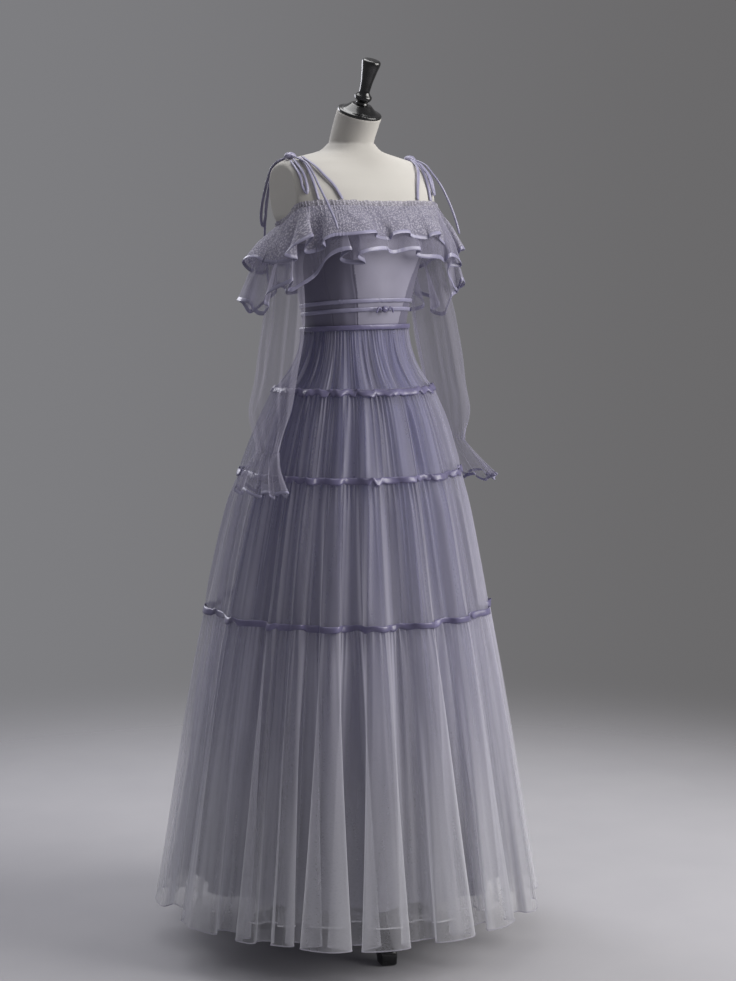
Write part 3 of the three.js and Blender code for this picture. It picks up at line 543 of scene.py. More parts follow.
def pleats(phi, count, seed):
    """Uneven little pleats: a cosine with a sharper crest, whose spacing and size wander."""
    turn = np.radians(phi) * count + 3.0 * wander(phi, 3, 24, seed)
    size = np.clip(0.8 + 0.75 * wander(phi, 5, 36, seed + 1), 0.05, 2.2)
    return (np.cos(turn) + 0.3 * np.cos(2 * turn)) * size


# for each large fold: the angle of its valley in degrees, its depth, and how far it doubles back, as shares
VALLEYS = np.array([5, 26, 49, 74, 101, 130, 161, 192, 224, 256, 286, 298, 309, 325, 345.0])
DEPTHS = np.array([1.05, .7, 1.1, .8, 1.1, .8, 1.1, .9, 1.1, .8, .9, .5, .8, 1.15, .8])
DOUBLING = np.array([1.4, .3, 1.1, .5, 1.3, .3, 1.2, .8, 1.4, .3, 1.5, .3, 1.3, 1.5, .6])


def large_folds(phi):
    """How far out the large folds stand, and how far round they double back, in degrees.

    The fold's own phase runs from 0 in its valley to 1 in the next. Out is -0.3 less 0.7 of the phase's cosine,
    so a valley is at -1 and a crest at +0.4, times the depth. Round is the sine of twice the phase, which turns
    the walls of the fold under its crest."""
    places = np.concatenate([VALLEYS - 360, VALLEYS, VALLEYS + 360])
    phase = curve(places, np.arange(places.size, dtype=float), phi)
    turn = 2 * math.pi * phase
    depth = curve(places, np.tile(DEPTHS, 3), phi)
    doubling = curve(places, np.tile(DOUBLING, 3), phi)
    wide = curve(places, np.tile(np.diff(np.append(VALLEYS, VALLEYS[0] + 360)), 3), phi)
    return depth * (-0.7 * np.cos(turn) - 0.3), doubling * wide * np.sin(2 * turn)


# %% Rings of the skirt
TIER_SEAMS, HEM = (1140, 972, 690), 85  # heights of the seams between tiers and of the lowest hem, in mm
UNDERSKIRT_HEM, LINING_HEM = 118, 145
FREE_FROM = TIER_SEAMS[0]  # below this height the skirt has left the body's own line
WAIST_GAP = 5.5            # from the body to the skirt's layers in the waist seam
# height, half width, half depth, middle, depth of the large folds
OUTER = np.array([(WAIST, 113, 88, 8, 0), (TIER_SEAMS[0], 167, 148, 10, 5), (TIER_SEAMS[1], 226, 218, 22, 10),
                  (TIER_SEAMS[2], 289, 285, 30, 17), (HEM, 388, 388, 30, 34)], float)
MIDDLE = np.array([(WAIST, 110, 85, 8, 0), (1045, 187, 171, 16, 7), (600, 282, 278, 28, 16),
                   (UNDERSKIRT_HEM, 361, 361, 30, 30)], float)
INNER = np.array([(WAIST, 108, 83, 8, 0), (1045, 177, 160, 16, 5), (600, 268, 262, 26, 12),
                  (LINING_HEM, 341, 341, 30, 22)], float)


def skirt_points(table, phi, z, gap, doubling, pleated):
    """Points of one skirt layer: the ring's half width and depth at each height, grown by the large folds, the
    pleats and a gap. Near the waist the ring turns into the body's own line at the waist seam."""
    half_width, half_depth, centre, folded = (curve(table[:, 0], table[:, k], z) for k in (1, 2, 3, 4))
    out, round_ = large_folds(phi)
    grown = gap + folded * out + pleated
    turned = np.radians(phi + doubling * round_)
    free = np.stack([(half_width + grown) * np.sin(turned),
                     centre - (half_depth + grown) * np.cos(turned), z], -1)
    waist = on_tilted_line(phi, WAIST, WAIST_TILT, WAIST_GAP + gap + pleated)
    lowered = waist + np.stack([0 * z, 0 * z, z - WAIST], -1)
    share = np.clip((WAIST - z) / (WAIST - FREE_FROM), 0, 1)[..., None] ** 1.15
    return np.where(z[..., None] > FREE_FROM, lowered * (1 - share) + free * share, free)


def layer(table, top, bottom, columns, rows, gap, small, medium, doubling, seed, free_hem=False, puff=3.0):
    """One gathered strip between two heights.

    small and medium are (count, millimetres) of its pleats: the small ones fade out under the seam, where the
    medium ones grow. doubling is how far the large folds turn back, at the top and at the hem. The strip puffs
    out under its seam, and a free hem sways a little up and down."""
    phi, t = np.meshgrid(np.arange(columns) * 360 / columns, (np.arange(rows) / (rows - 1)) ** 1.25)
    z = top + (bottom - top) * t
    down = top - z
    sewn = 1.0 if free_hem else 1 - 0.75 * np.clip((t - 0.8) / 0.2, 0, 1) ** 2
    fine = pleats(phi, small[0], seed) * (small[1] * np.exp(-down / 45) + 0.35)
    drift = phi + 0.6 * wander(phi, 2, 9, seed + 4) * down / 100
    soft = pleats(drift, medium[0], seed + 2) * medium[1] * np.clip(down / 60, 0.15, 1) * sewn
    full = puff * np.sin(math.pi * np.clip(t * 1.3, 0, 1)) * np.exp(-2 * t)
    sway = 0 if not free_hem else 3.0 * wander(phi, 3, 14, seed + 6) * t ** 3
    amount = doubling[0] + (doubling[1] - doubling[0]) * t
    points = skirt_points(table, phi, z, gap + full, amount, fine + soft)
    points[..., 2] += sway
    return points


def girth(points):
    """Length round one row of points, in millimetres."""
    return float(np.linalg.norm(np.diff(np.vstack([points, points[:1]]), axis=0), axis=1).sum())


print("seam girths", [round(girth(skirt_points(OUTER, np.arange(360.0), np.full(360, z), 0, 0, 0)))
                      for z in map(float, (*TIER_SEAMS, HEM))])

# %% Tiers
TIERS = {}  # neighbours end half a millimetre above and below their seam
for k, (top, bottom, columns, rows, small, medium, doubling, seed, cloth, slot) in enumerate((
    (WAIST, 1140.5, 1080, 18, (104, 1.1), (30, 1.7), (0, 0.0), 11, UPPER_TULLE, "tulle_lilac"),
    (1139.5, 972.5, 1200, 22, (132, 1.3), (38, 2.9), (0, 0.02), 21, UPPER_TULLE, "tulle_lilac"),
    (971.5, 690.5, 1320, 28, (150, 1.4), (44, 3.8), (0.01, 0.05), 31, UPPER_TULLE, "tulle_lilac"),
    (689.5, HEM, 1440, 42, (176, 1.5), (42, 3.2), (0.02, 0.20), 41, HEM_TULLE, "tulle_pale"),
), 1):
    points = layer(OUTER, top, bottom, columns, rows, 0.0, small, medium, doubling, seed, bottom == HEM)
    piece = make(f"tier_{k}_cloth", points, cloth, (f"skirt_tier_{k}",),
                 size=(girth(points[-1]), top - bottom), gathered=True)
    TIERS[piece.name] = points
    print(piece.name, "faces", len(piece.data.polygons))

# %% Inner skirts
inner_net = layer(MIDDLE, WAIST, UNDERSKIRT_HEM, 1080, 38, -2.8, (110, 0.7), (38, 2.4), (0.0, 0.12), 51,
                  free_hem=True, puff=0)
make("underskirt_cloth", inner_net, INNER_TULLE, ("underskirt_tulle",),
     size=(girth(inner_net[-1]), WAIST - UNDERSKIRT_HEM), gathered=True)
lining = layer(INNER, WAIST, LINING_HEM, 720, 36, -6.0, (60, 0.3), (26, 2.2), (0.0, 0.03), 61,
               free_hem=True, puff=0)
make("lining_cloth", lining, LINING, ("slip_lining",),
     size=(girth(lining[-1]), WAIST - LINING_HEM))
print("inner skirts", inner_net.shape, lining.shape)

# %% [markdown]
# ## The form, its cap and its stand
#
# The form is a padded body in off-white linen, cut off flat at the neck, at the arms and under the hips. The
# cap, the turned handle on it, the pole and the legs are cast or turned and finished in gloss black lacquer.
# Turned pieces are a profile carried round an axis.


# %% Lacquer
def lacquer(name, hexed):
    """Gloss paint: dark, with a clear coat. A fine noise gives a trace of orange peel, a slow one the wear."""
    material, tree, out = new_material(name)
    place = node(tree, "TexCoord").outputs["Object"]
    peel = node(tree, "TexNoise", {"Vector": place, "Scale": 260.0, "Detail": 2.0})
    worn = node(tree, "TexNoise", {"Vector": place, "Scale": 30.0, "Detail": 4.0})
    rough = node(tree, "MapRange", {"Value": worn.outputs["Fac"], "To Min": 0.16, "To Max": 0.34})
    bump = node(tree, "Bump", {"Height": peel.outputs["Fac"], "Strength": 0.15, "Distance": 0.0003})
    shader = node(tree, "BsdfPrincipled", {
        "Base Color": colour(hexed), "Roughness": rough.outputs["Result"], "Normal": bump.outputs[0],
        "Coat Weight": 0.5, "Coat Roughness": 0.08})
    tree.links.new(shader.outputs[0], out.inputs["Surface"])
    return material


LACQUER = lacquer("gloss_black_lacquer", "#131315")


# %% Closed and turned surfaces
def closed(piece):
    """Joins the doubled points of a surface's poles, so that the skin is whole, and faces it outwards."""
    work = bmesh.new()
    work.from_mesh(piece.data)
    bmesh.ops.remove_doubles(work, verts=work.verts, dist=1e-6)
    bmesh.ops.recalc_face_normals(work, faces=work.faces)
    work.to_mesh(piece.data)
    work.free()
    return piece


def refined(profile, steps=4):
    """A profile with its corners kept and points added between them, on a soft curve through all of them."""
    profile = np.asarray(profile, float)
    along = np.concatenate([[0], np.cumsum(np.hypot(*np.diff(profile, axis=0).T))])
    at = np.interp(np.arange((len(profile) - 1) * steps + 1) / steps, np.arange(len(profile)), along)
    return np.stack([curve(along, profile[:, 0], at), curve(along, profile[:, 1], at)], -1)


def turned(name, profile, material, replaces, tilt=0.0, base=(0, 0, 0), soften=True):
    """A profile of radius and height carried round its own axis, then tilted forwards and put on its base."""
    shape = refined(profile) if soften else np.asarray(profile, float)
    turns = np.radians(np.arange(96) * 3.75)
    r, z = shape[:, 0][:, None], shape[:, 1][:, None]
    x, y, z = r * np.sin(turns), -r * np.cos(turns), z + 0 * turns
    lean = math.radians(tilt)
    points = np.stack([x + base[0], y * math.cos(lean) - z * math.sin(lean) + base[1],
                       y * math.sin(lean) + z * math.cos(lean) + base[2]], -1)
    return closed(make(name, points[::-1], material, replaces))


# %% Form
def form_points():
    """Sections of the body up to the neck, then circles that tilt forwards; both ends close on a point.

    Where the bodice and skirt cover it, it is drawn in a little, most of all under the first tier, to stay
    clear of them."""
    phi = np.arange(200) * 1.8
    heights = np.concatenate([np.linspace(975, 1480, 40), np.linspace(1488, NECK_TOP, 34)])
    slack = -2.0 * np.clip((1410 - heights) / 60, 0, 1) - 10.0 * np.exp(-((heights - 1172) / 62) ** 2)
    body = on_body(phi[None, :], heights[:, None], slack[:, None])
    t = np.linspace(0.06, 1, 18)[:, None]
    lean = np.radians(22 * t)
    fore = 45 * np.cos(np.radians(phi))
    neck = np.stack([45 * np.sin(np.radians(phi)) + 0 * t, 20 - 28 * t ** 1.2 - fore * np.cos(lean),
                     NECK_TOP + 60 * t - fore * np.sin(lean)], -1)
    rows = np.concatenate([body, neck])
    ends = [np.broadcast_to(row.mean(0), row.shape)[None] for row in (rows[0], rows[-1])]
    return np.concatenate([ends[0], rows, ends[1]])[::-1]


CAP_TILT, CAP_BASE = 22, (0, -8, 1688)
form = closed(make("form_skin", form_points(), LINEN, ("form_torso",), size=(700, 700)))
turned("cap_disc", [(0, 0.3), (43.5, 0.3), (44.6, 1.5), (44.8, 4), (43.5, 6), (36, 8), (30, 12), (24, 17),
                    (20, 20), (0, 21)],
       LACQUER, ("neck_cap",), CAP_TILT, CAP_BASE)
turned("cap_handle", [(0, 21.4), (13, 21.4), (11.2, 25), (16.5, 31), (17.6, 36), (13, 42), (10.5, 47),
                      (11.2, 56), (12, 66), (14, 78), (16, 90), (18.6, 102), (19, 106), (17, 110.6),
                      (12, 111.8), (0, 112)],
       LACQUER, ("neck_finial",), CAP_TILT, CAP_BASE)
turned("pole_rod", [(0, 196.3), (15, 196.3), (15, 914.7), (22, 930), (34, 952.7), (46, 960.7), (46, 974.7),
                    (0, 974.7)],
       LACQUER, ("stand_pole",), soften=False)
turned("hub_body", [(0, 44), (12, 48), (18, 58), (30, 62), (30, 170), (22, 178), (26, 186), (20, 196),
                    (0, 196)],
       LACQUER, ("stand_hub",))
print("form faces", len(form.data.polygons))


# %% Legs
def softened_copy(name, source, material, bevel):
    """A copy of a node with its loose triangles joined and its edges rounded off."""
    work = bmesh.new()
    work.from_mesh(bpy.data.objects[source].data)
    bmesh.ops.remove_doubles(work, verts=work.verts, dist=1e-5)
    bmesh.ops.dissolve_limit(work, angle_limit=math.radians(1), verts=work.verts, edges=work.edges)
    mesh = bpy.data.meshes.new(name)
    work.to_mesh(mesh)
    work.free()
    mesh.polygons.foreach_set("use_smooth", np.ones(len(mesh.polygons), bool))
    piece = bpy.data.objects.new(name, mesh)
    bpy.context.collection.objects.link(piece)
    rounding = piece.modifiers.new("rounding", "BEVEL")
    rounding.width, rounding.segments, rounding.limit_method = bevel / 1000, 3, "ANGLE"
    rounding.angle_limit = math.radians(40)
    rounding.harden_normals = True
    mesh.materials.append(material)
    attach(piece, "root")
    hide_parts(source)


for k in (1, 2, 3):
    softened_copy(f"leg_{k}", f"stand_leg_{k}", LACQUER, 4)
print("legs softened")

# %% [markdown]
# ## The bodice
#
# The bodice is cut in panels that meet in seams over the bust and down the sides, and a closed zip holds it at
# the back. One surface carries all the panels: it follows the body, dips a little at each seam, and has a few
# shallow drag lines from the bust to the waist. The cloth is firm, so nothing else stands away from the body.

# %% Bodice
SEAM, LACE_HEM, NET_HEM, LACE_OUT, NET_OUT = 1, 2, 3, 4, 5
UNDER_HEADING = 14.3  # how far below the neckline seam the bodice and the zip end, in mm
RUFFLE = np.array([  # angle, neckline seam, lace hem, tulle hem, how far each hem stands out
    (0, 1508, 1446, 1410, 24, 18), (35, 1510, 1442, 1402, 26, 20), (58, 1506, 1418, 1364, 36, 38),
    (75, 1488, 1398, 1318, 52, 58), (90, 1472, 1392, 1298, 60, 66), (112, 1461, 1386, 1308, 50, 58),
    (142, 1451, 1380, 1336, 28, 32), (180, 1446, 1376, 1340, 22, 24)], float)


def ruffle_size(phi, column):
    """A column of the ruffles' table at an angle, the same on both sides of the body."""
    around = np.abs((np.asarray(phi, float) + 180) % 360 - 180)
    return curve(RUFFLE[:, 0], RUFFLE[:, column], around)


BODICE_COLUMNS, BODICE_ROWS = 540, 36


def bodice_points():
    """Rows from the neckline to the waist seam. Out is a fixed gap, less a narrow dip on each seam with a
    soft rise beside it, plus a shallow slanting wave that is strongest near the waist."""
    phi, t = np.meshgrid(np.arange(BODICE_COLUMNS) * 360 / BODICE_COLUMNS, np.linspace(1, 0, BODICE_ROWS))
    guess = LOWER_BAND + (1508 - LOWER_BAND) * t  # a height near enough to place the seams
    low = WAIST + 1 - WAIST_TILT * on_body(phi, WAIST, 0)[..., 1]
    away = np.abs(np.abs((phi + 180) % 360 - 180) - 90)
    high = np.minimum(ruffle_size(phi, SEAM) - UNDER_HEADING, 1431 + 3.5 * np.maximum(0, away - 23))
    z = low + (high - low) * t
    side = np.abs((phi + 180) % 360 - 180)
    gap = 2.6 + 0 * phi
    for seam in (curve([1265, 1341, 1427, 1508], [24, 28, 36, 36], guess),
                 curve([1265, 1341, 1427, 1508], [54, 58, 64, 64], guess), 112 + 0 * guess):
        gap = gap - 0.9 * np.exp(-((side - seam) / 0.8) ** 2) + 0.35 * np.exp(-((side - seam) / 2.6) ** 2)
    drag = np.cos(np.radians(9 * phi + 260 * t) + 1.5 * wander(phi, 2, 9, 71))
    gap = gap + 0.7 * drag * np.exp(-((t - 0.25) / 0.28) ** 2)
    return on_body(phi, z, gap)


PANELS = ("bodice_front", "bodice_side_front_left", "bodice_side_front_right", "bodice_side_left",
          "bodice_side_right", "bodice_back_left", "bodice_back_right", "waist_inset")
bodice = make("bodice_cloth", bodice_points(), BODICE, PANELS, size=(760, 240))
bodice.data.materials.append(SHADED_BODICE)
thicken(bodice, 0.6)
# the panels at the sides, between the second seam and the third, get the darker copy of the crepe satin as
# painted shade
row, column = np.divmod(np.arange(len(bodice.data.polygons)), BODICE_COLUMNS)
at_height = curve([0, 11, 23, 35], [36, 36, 28, 24], row)
around = np.abs(((column + 0.5) * 360 / BODICE_COLUMNS + 180) % 360 - 180)
bodice.data.polygons.foreach_set("material_index", ((around > at_height) & (around < 112)).astype(np.int32))

# %% Zip
zip_phi, zip_t = np.meshgrid(np.linspace(177.9, 182.1, 13), np.linspace(1, 0, 181))
zip_low = LOWER_BAND - 3 - BAND_TILT * on_body(zip_phi, LOWER_BAND, 0)[..., 1]
zip_z = zip_low + (ruffle_size(zip_phi, SEAM) - UNDER_HEADING - zip_low) * zip_t
teeth = 0.5 * np.cos(math.pi * 180 * zip_t) * np.exp(-((zip_phi - 180) / 0.7) ** 2)
make("zip_strip", on_body(zip_phi, zip_z, 3.4 + teeth), DARK_SATIN, ("back_zip",), wrap=False,
     size=(8, 150))
print("bodice and zip made")

# %% [markdown]
# ## Satin bands and ribbons
#
# A narrow satin ribbon covers each seam between tiers. It is held by the gathers under it, so it rolls a little
# in and out, and its sheen breaks into short light and dark lengths, which the satin's colour also carries as
# painted sheen. The binding at the waist and the two bands above it are stitched flat.


# %% Ribbons round the body
def band(name, line, height, gap, roll, seed, material, replaces):
    """A strip round a line: rows across its height, with a small bulge, and a wave that rolls its edges."""
    phi, v = np.meshgrid(np.arange(720) / 2, np.linspace(1, -1, 5))
    wave = roll * pleats(phi, 26, seed)
    points = line(phi, v * height / 2, gap + 0.8 * (1 - v * v) + wave * v * 0.9, wave)
    return thicken(make(name, points, material, replaces, size=(girth(points[2]), height)), 0.5)


def on_waist(z, tilt):
    """A line on the body at a height and tilt, for a strip sewn flat."""
    return lambda phi, up, gap, wave: (on_tilted_line(phi, z + up, tilt, gap)
                                       + np.stack([0 * up, 0 * up, wave * 0.5], -1))


def on_seam(z, amount):
    """A line on the skirt's outer layer at the seam between two tiers."""
    return lambda phi, up, gap, wave: skirt_points(
        OUTER, phi, z + up * (1 - 0.05 * wave) + 0.9 * wave, gap, amount, 0)


band("waist_binding_satin", on_waist(WAIST, WAIST_TILT), 10, 9.6, 0.25, 81, DARK_SATIN, ("waist_binding",))
band("band_lower_satin", on_waist(LOWER_BAND, BAND_TILT), 8, 4.0, 0.25, 82, SATIN, ("satin_band_lower",))
band("band_upper_satin", on_waist(UPPER_BAND, BAND_TILT), 8, 4.0, 0.25, 83, SATIN, ("satin_band_upper",))
for k, (z, amount) in enumerate(zip(TIER_SEAMS, (0.0, 0.02, 0.04)), 1):
    band(f"ribbon_{k}_satin", on_seam(z, amount), 12.5, 3.6, 2.0, 84 + k, DARK_SATIN, (f"tier_ribbon_{k}",))
print("bands made")

# %% [markdown]
# ## The ruffles round the neckline
#
# Two circles of cloth are gathered under a narrow heading: a long one of net, and over it a shorter one of
# crinkled lace. A gathered circle has more cloth at its hem than at its seam, so the hem swings to and fro in S
# shapes, and its satin edge shows as loops. The swing is a wave outwards and a wave of twice its count along
# the hem, and both grow from nothing at the seam.


# %% Ruffles
A_DEGREE = 3.1  # millimetres that one degree is long where the ruffles hang


def ruffle_points(top_gap, hem_column, out_column, folds, deep, back, seed, columns=1200, rows=20):
    """Rows from the seam to the hem. deep is how far the swing goes outwards and back how far along, in mm."""
    phi, t = np.meshgrid(np.arange(columns) * 360 / columns, np.linspace(0, 1, rows))
    turn = np.radians(phi) * folds + 1.7 * wander(phi, 2, 11, seed) + 0.5 * t * wander(phi, 3, 9, seed + 5)
    size = np.clip(1 + 0.35 * wander(phi, 2, 10, seed + 1), 0.4, 1.6)
    size = size * (0.7 + 0.75 * np.sin(np.radians(phi)) ** 2)
    around = phi + back / A_DEGREE * size * np.sin(2 * turn) * t ** 1.2
    top = ruffle_size(around, SEAM) - 4
    wave = deep * size * np.cos(turn) * t ** 0.85
    fine = pleats(phi, 130, seed + 2) * (0.9 * np.exp(-5 * t) + 0.2)
    creased = 1.1 * np.sin(9 * t + 3 * wander(phi, 4, 22, seed + 3)) * np.sin(math.pi * np.clip(t * 1.1, 0, 1))
    lift = 0.5 * wave + deep * 0.8 * size * np.sin(turn + 0.7) * t ** 1.5
    z = top - (top - ruffle_size(around, hem_column)) * t + lift
    out = ruffle_size(around, out_column) * t + 4 * np.sin(math.pi * t)
    return hanging(around, z, top, top_gap + 0.6 + out + wave + fine + creased)


def edging(name, points, height, out, material, replaces):
    """A binding folded over the last row of a grid: up its outside, round the edge and up its inside."""
    up = points[::-1]
    steps = np.linalg.norm(np.diff(up, axis=0), axis=-1)
    along = np.vstack([np.zeros(points.shape[1]), np.cumsum(steps, 0)])
    normal = faces_out(points)[::-1]
    rows = []
    for distance, side in ((height, 0.5), (height * 0.5, 1.0), (0.6, 0.9), (-0.5, 0), (0.6, -0.9),
                           (height * 0.5, -1.0), (height, -0.5)):
        i = np.clip((along < distance).sum(0) - 1, 0, len(up) - 2)
        column = np.arange(points.shape[1])
        share = (distance - along[i, column]) / np.maximum(steps[i, column], 1e-6)
        on_cloth = up[i, column] + (up[i + 1, column] - up[i, column]) * share[:, None]
        rows.append(on_cloth + normal[i, column] * out * side)
    strip = np.stack(rows)
    make(name, strip, material, replaces, size=(girth(strip[2]), 2 * height))


net_ruffle = ruffle_points(5.8, NET_HEM, NET_OUT, 10, 10.0, 12.0, 101)
lace_ruffle = ruffle_points(8.2, LACE_HEM, LACE_OUT, 12, 8.0, 9.0, 131)
heading_phi, heading_t = np.meshgrid(np.arange(1200) * 0.3, np.linspace(1, 0, 9))
rise = np.sin(math.pi * heading_t)
crush = pleats(heading_phi, 120, 151) * (0.9 + 0.5 * rise) + 1.2 * rise
heading_height = 20.5 + 0.9 * wander(heading_phi, 9, 60, 152)
heading = on_body(heading_phi, ruffle_size(heading_phi, SEAM) - 14 + heading_height * heading_t, 5.4 + crush)

# %% [markdown]
# ## Sheer sleeves with flared cuffs
#
# A sleeve is a tube of net, set into the armhole under the ruffles. It hangs empty, so long soft folds run down
# it, and it is gathered at the wrist onto the cuff, which flares out in a few waves with a satin edge.

# %% Sleeves
# height, middle on the right, on the left, forward or back, half width out, half width along
SLEEVE = np.array([
    (1404, 171, 171, 0, 18, 46), (1287, 192, 187, -14, 30, 55), (1183, 216, 201, -24, 29, 57),
    (1098, 236, 217, -29, 26, 55), (1026, 243, 228, -32, 15, 30)], float)
CUFF = np.array([
    (1025.7, 243, 228, -32, 15, 30), (988, 257, 246, -34, 21, 54), (949, 266, 264, -43, 30, 74)], float)


def armhole(side, turn):
    """An oval on the body under the ruffles; turn 0 is its top and 90 degrees its front."""
    phi = 90 - 27 * np.sin(np.radians(turn))
    high = ruffle_size(phi, SEAM) - UNDER_HEADING
    points = on_body(phi, 1421 + (high - 1421) * (1 + np.cos(np.radians(turn))) / 2, 5.4)
    return points * np.array([side, 1, 1])


def oval_ring(side, size, turn):
    """An oval ring of a sleeve or cuff; turn 0 faces away from the body and 90 degrees forwards."""
    middle = size[2] if side > 0 else size[1]
    c, n = np.cos(np.radians(turn)), np.sin(np.radians(turn))
    return np.stack([side * (middle + size[4] * c), size[3] - size[5] * n, size[0] + 0 * c], -1)


def through_rings(rings, per):
    """Rows on a smooth line through the same point of each ring: a cubic with gentle slopes between two."""
    rings = np.asarray(rings)
    slope = gentle(np.diff(rings, axis=0))
    t = (np.arange(per) / per)[None, :, None, None]
    rows = (rings[:-1, None] * (1 + 2 * t) * (1 - t) ** 2 + rings[1:, None] * t * t * (3 - 2 * t)
            + slope[:-1, None] * t * (1 - t) ** 2 - slope[1:, None] * t * t * (1 - t))
    return np.concatenate([rows.reshape((-1,) + rings.shape[1:]), rings[-1:]])


def tube_folds(points, ripple):
    """Moves a sleeve's points out from the middle of their own row, level with the floor."""
    away = points - points.mean(1, keepdims=True)
    away[..., 2] = 0
    return points + away / np.maximum(np.linalg.norm(away, axis=-1, keepdims=True), 1e-6) * ripple[..., None]


def sleeve_points(side, seed, columns=300, per=13):
    """The armhole, then five ovals down to the wrist, with folds whose crests wind slowly round the arm."""
    turn = np.arange(columns) * 360 / columns
    rings = [armhole(side, turn)] + [oval_ring(side, size, turn) for size in SLEEVE]
    smooth = through_rings(rings, per)
    angle, t = np.meshgrid(turn, np.linspace(0, 1, len(smooth)))
    wound = angle + 34 * t * side + 9 * np.sin(5 * t + seed)
    long_folds = (np.cos(np.radians(5 * wound) + 1.3 * wander(wound, 1, 4, seed))
                  + 0.5 * np.cos(np.radians(9 * wound + 40)))
    long_folds = long_folds * 4.2 * np.sin(math.pi * np.clip(t, 0.03, 0.97)) ** 0.8
    bagged = (3.0 * np.sin(2 * math.pi * (3.2 * t - 0.3 + 0.13 * wander(angle, 1, 3, seed + 4)))
              * np.clip(2 * t - 0.8, 0, 1) * (t < 0.97))
    gathers = pleats(angle, 34, seed + 2) * (1.5 * np.exp(-(1 - t) * 16) + 1.1 * np.exp(-t * 18))
    return tube_folds(smooth, long_folds + bagged * (1 - t ** 12) + gathers)


def cuff_points(side, seed, columns=300, per=10):
    """Three ovals, with gathers at the wrist that open into the waves of the hem."""
    turn = np.arange(columns) * 360 / columns
    smooth = through_rings([oval_ring(side, size, turn) for size in CUFF], per)
    angle, t = np.meshgrid(turn, np.linspace(0, 1, len(smooth)))
    swing = np.radians(7 * angle) + 0.9 * wander(angle, 1, 4, seed + 3)
    waves = (7.0 * np.cos(swing) + 2.0 * np.cos(np.radians(3 * angle + 40))) * t ** 0.8
    gathers = pleats(angle, 30, seed) * (1.3 * np.exp(-t * 6) + 0.25)
    points = tube_folds(smooth, waves + gathers)
    points[..., 1] += 5.0 * np.sin(2 * swing) * t ** 1.3
    points[..., 2] += 6.0 * np.cos(swing + 0.9) * t ** 1.5
    return points


print("ruffles and sleeves worked out", net_ruffle.shape, lace_ruffle.shape)

# %% Ruffle and sleeve pieces
make("ruffle_net", net_ruffle, RUFFLE_TULLE, ("ruffle_tulle",),
     size=(girth(net_ruffle[-1]), 130), gathered=True)
make("ruffle_crinkled", lace_ruffle, LACE, ("ruffle_lace",), size=(girth(lace_ruffle[-1]), 70),
     gathered=True)
make("heading_gathers", heading, LACE, ("neck_heading",), size=(girth(heading[4]), 21), gathered=True)
edging("net_ruffle_edge", net_ruffle, 8.0, 0.7, SATIN, ("ruffle_tulle_trim",))
edging("lace_ruffle_edge", lace_ruffle, 7.0, 0.7, SATIN, ("ruffle_lace_trim",))
ARMS = {}
for name, side, seed in (("left", 1, 201), ("right", -1, 231)):
    sleeve, cuff = sleeve_points(side, seed), cuff_points(side, seed + 9)
    if side > 0:  # its rings are mirrored, so the columns are turned round and the faces stay outwards
        sleeve, cuff = sleeve[:, ::-1], cuff[:, ::-1]
    ARMS[name] = (sleeve, cuff)
    make(f"sleeve_net_{name}", sleeve, SLEEVE_TULLE, (f"sleeve_{name}",),
         size=(girth(sleeve[30]), 480), gathered=True)
    make(f"cuff_net_{name}", cuff, SLEEVE_TULLE, (f"cuff_{name}",),
         size=(girth(cuff[-1]), 90), gathered=True)
    edging(f"cuff_edge_{name}", cuff, 6.0, 0.6, SATIN, (f"cuff_trim_{name}",))
print("ruffle and sleeve pieces made")

# %% [markdown]
# ## Straps, loops and ties
#
# Each shoulder has two straps in front and one behind, of narrow satin sewn into tubes. They meet in a knot on
# top of the shoulder, which has one loop and one free end in front and the same behind. A tube is an oval
# carried along a smooth line, wider than it is thick.


# %% Tubes
def smooth_line(points, per=10):
    """A line through all its points whose direction at each is that from the point before to the one after."""
    points = np.asarray(points, float)
    longer = np.vstack([2 * points[0] - points[1], points, 2 * points[-1] - points[-2]])
    before, start, end, after = (longer[k:len(longer) - 3 + k, None, :] for k in range(4))
    t = (np.arange(per) / per)[None, :, None]
    line = 0.5 * (2 * start + (end - before) * t + (2 * before - 5 * start + 4 * end - after) * t ** 2
                  + (3 * start - before - 3 * end + after) * t ** 3)
    return np.vstack([line.reshape(-1, 3), points[-1]])


def tube_points(line, over, wide, thick, sides=14):
    """Rings along a line. Each is an oval, wide across the line and thick away from what the tube lies on, and
    over is that direction at each point. Both ends narrow a little and close on a point."""
    along = np.gradient(line, axis=0)
    across = np.cross(along, over)
    across /= np.linalg.norm(across, axis=1, keepdims=True)
    away = np.cross(across, along)
    away /= np.linalg.norm(away, axis=1, keepdims=True)
    turn = np.radians(np.arange(sides) * 360 / sides)[None, :, None]
    ring = across[:, None] * wide * np.cos(turn) + away[:, None] * thick * np.sin(turn)
    ring[[0, -1]] *= 0.75
    ends = [np.broadcast_to(line[k], (1, sides, 3)) for k in (0, -1)]
    return np.concatenate([ends[0], line[:, None] + ring, ends[1]])


def tube(name, line, over, wide, thick, material, replaces):
    """A closed satin tube along a line."""
    length = float(np.linalg.norm(np.diff(line, axis=0), axis=1).sum())
    points = tube_points(line, np.broadcast_to(over, line.shape), wide, thick)
    return closed(make(name, points, material, replaces, size=(12, length)))


SHOULDER_Y, SHOULDER_Z = 20, 1512  # the middle of the shoulder, seen from the side


def off_shoulder(line):
    """The direction away from the middle of the shoulder, seen from the side, for each point of a line."""
    return line * (0, 1, 1) - (0, SHOULDER_Y, SHOULDER_Z)


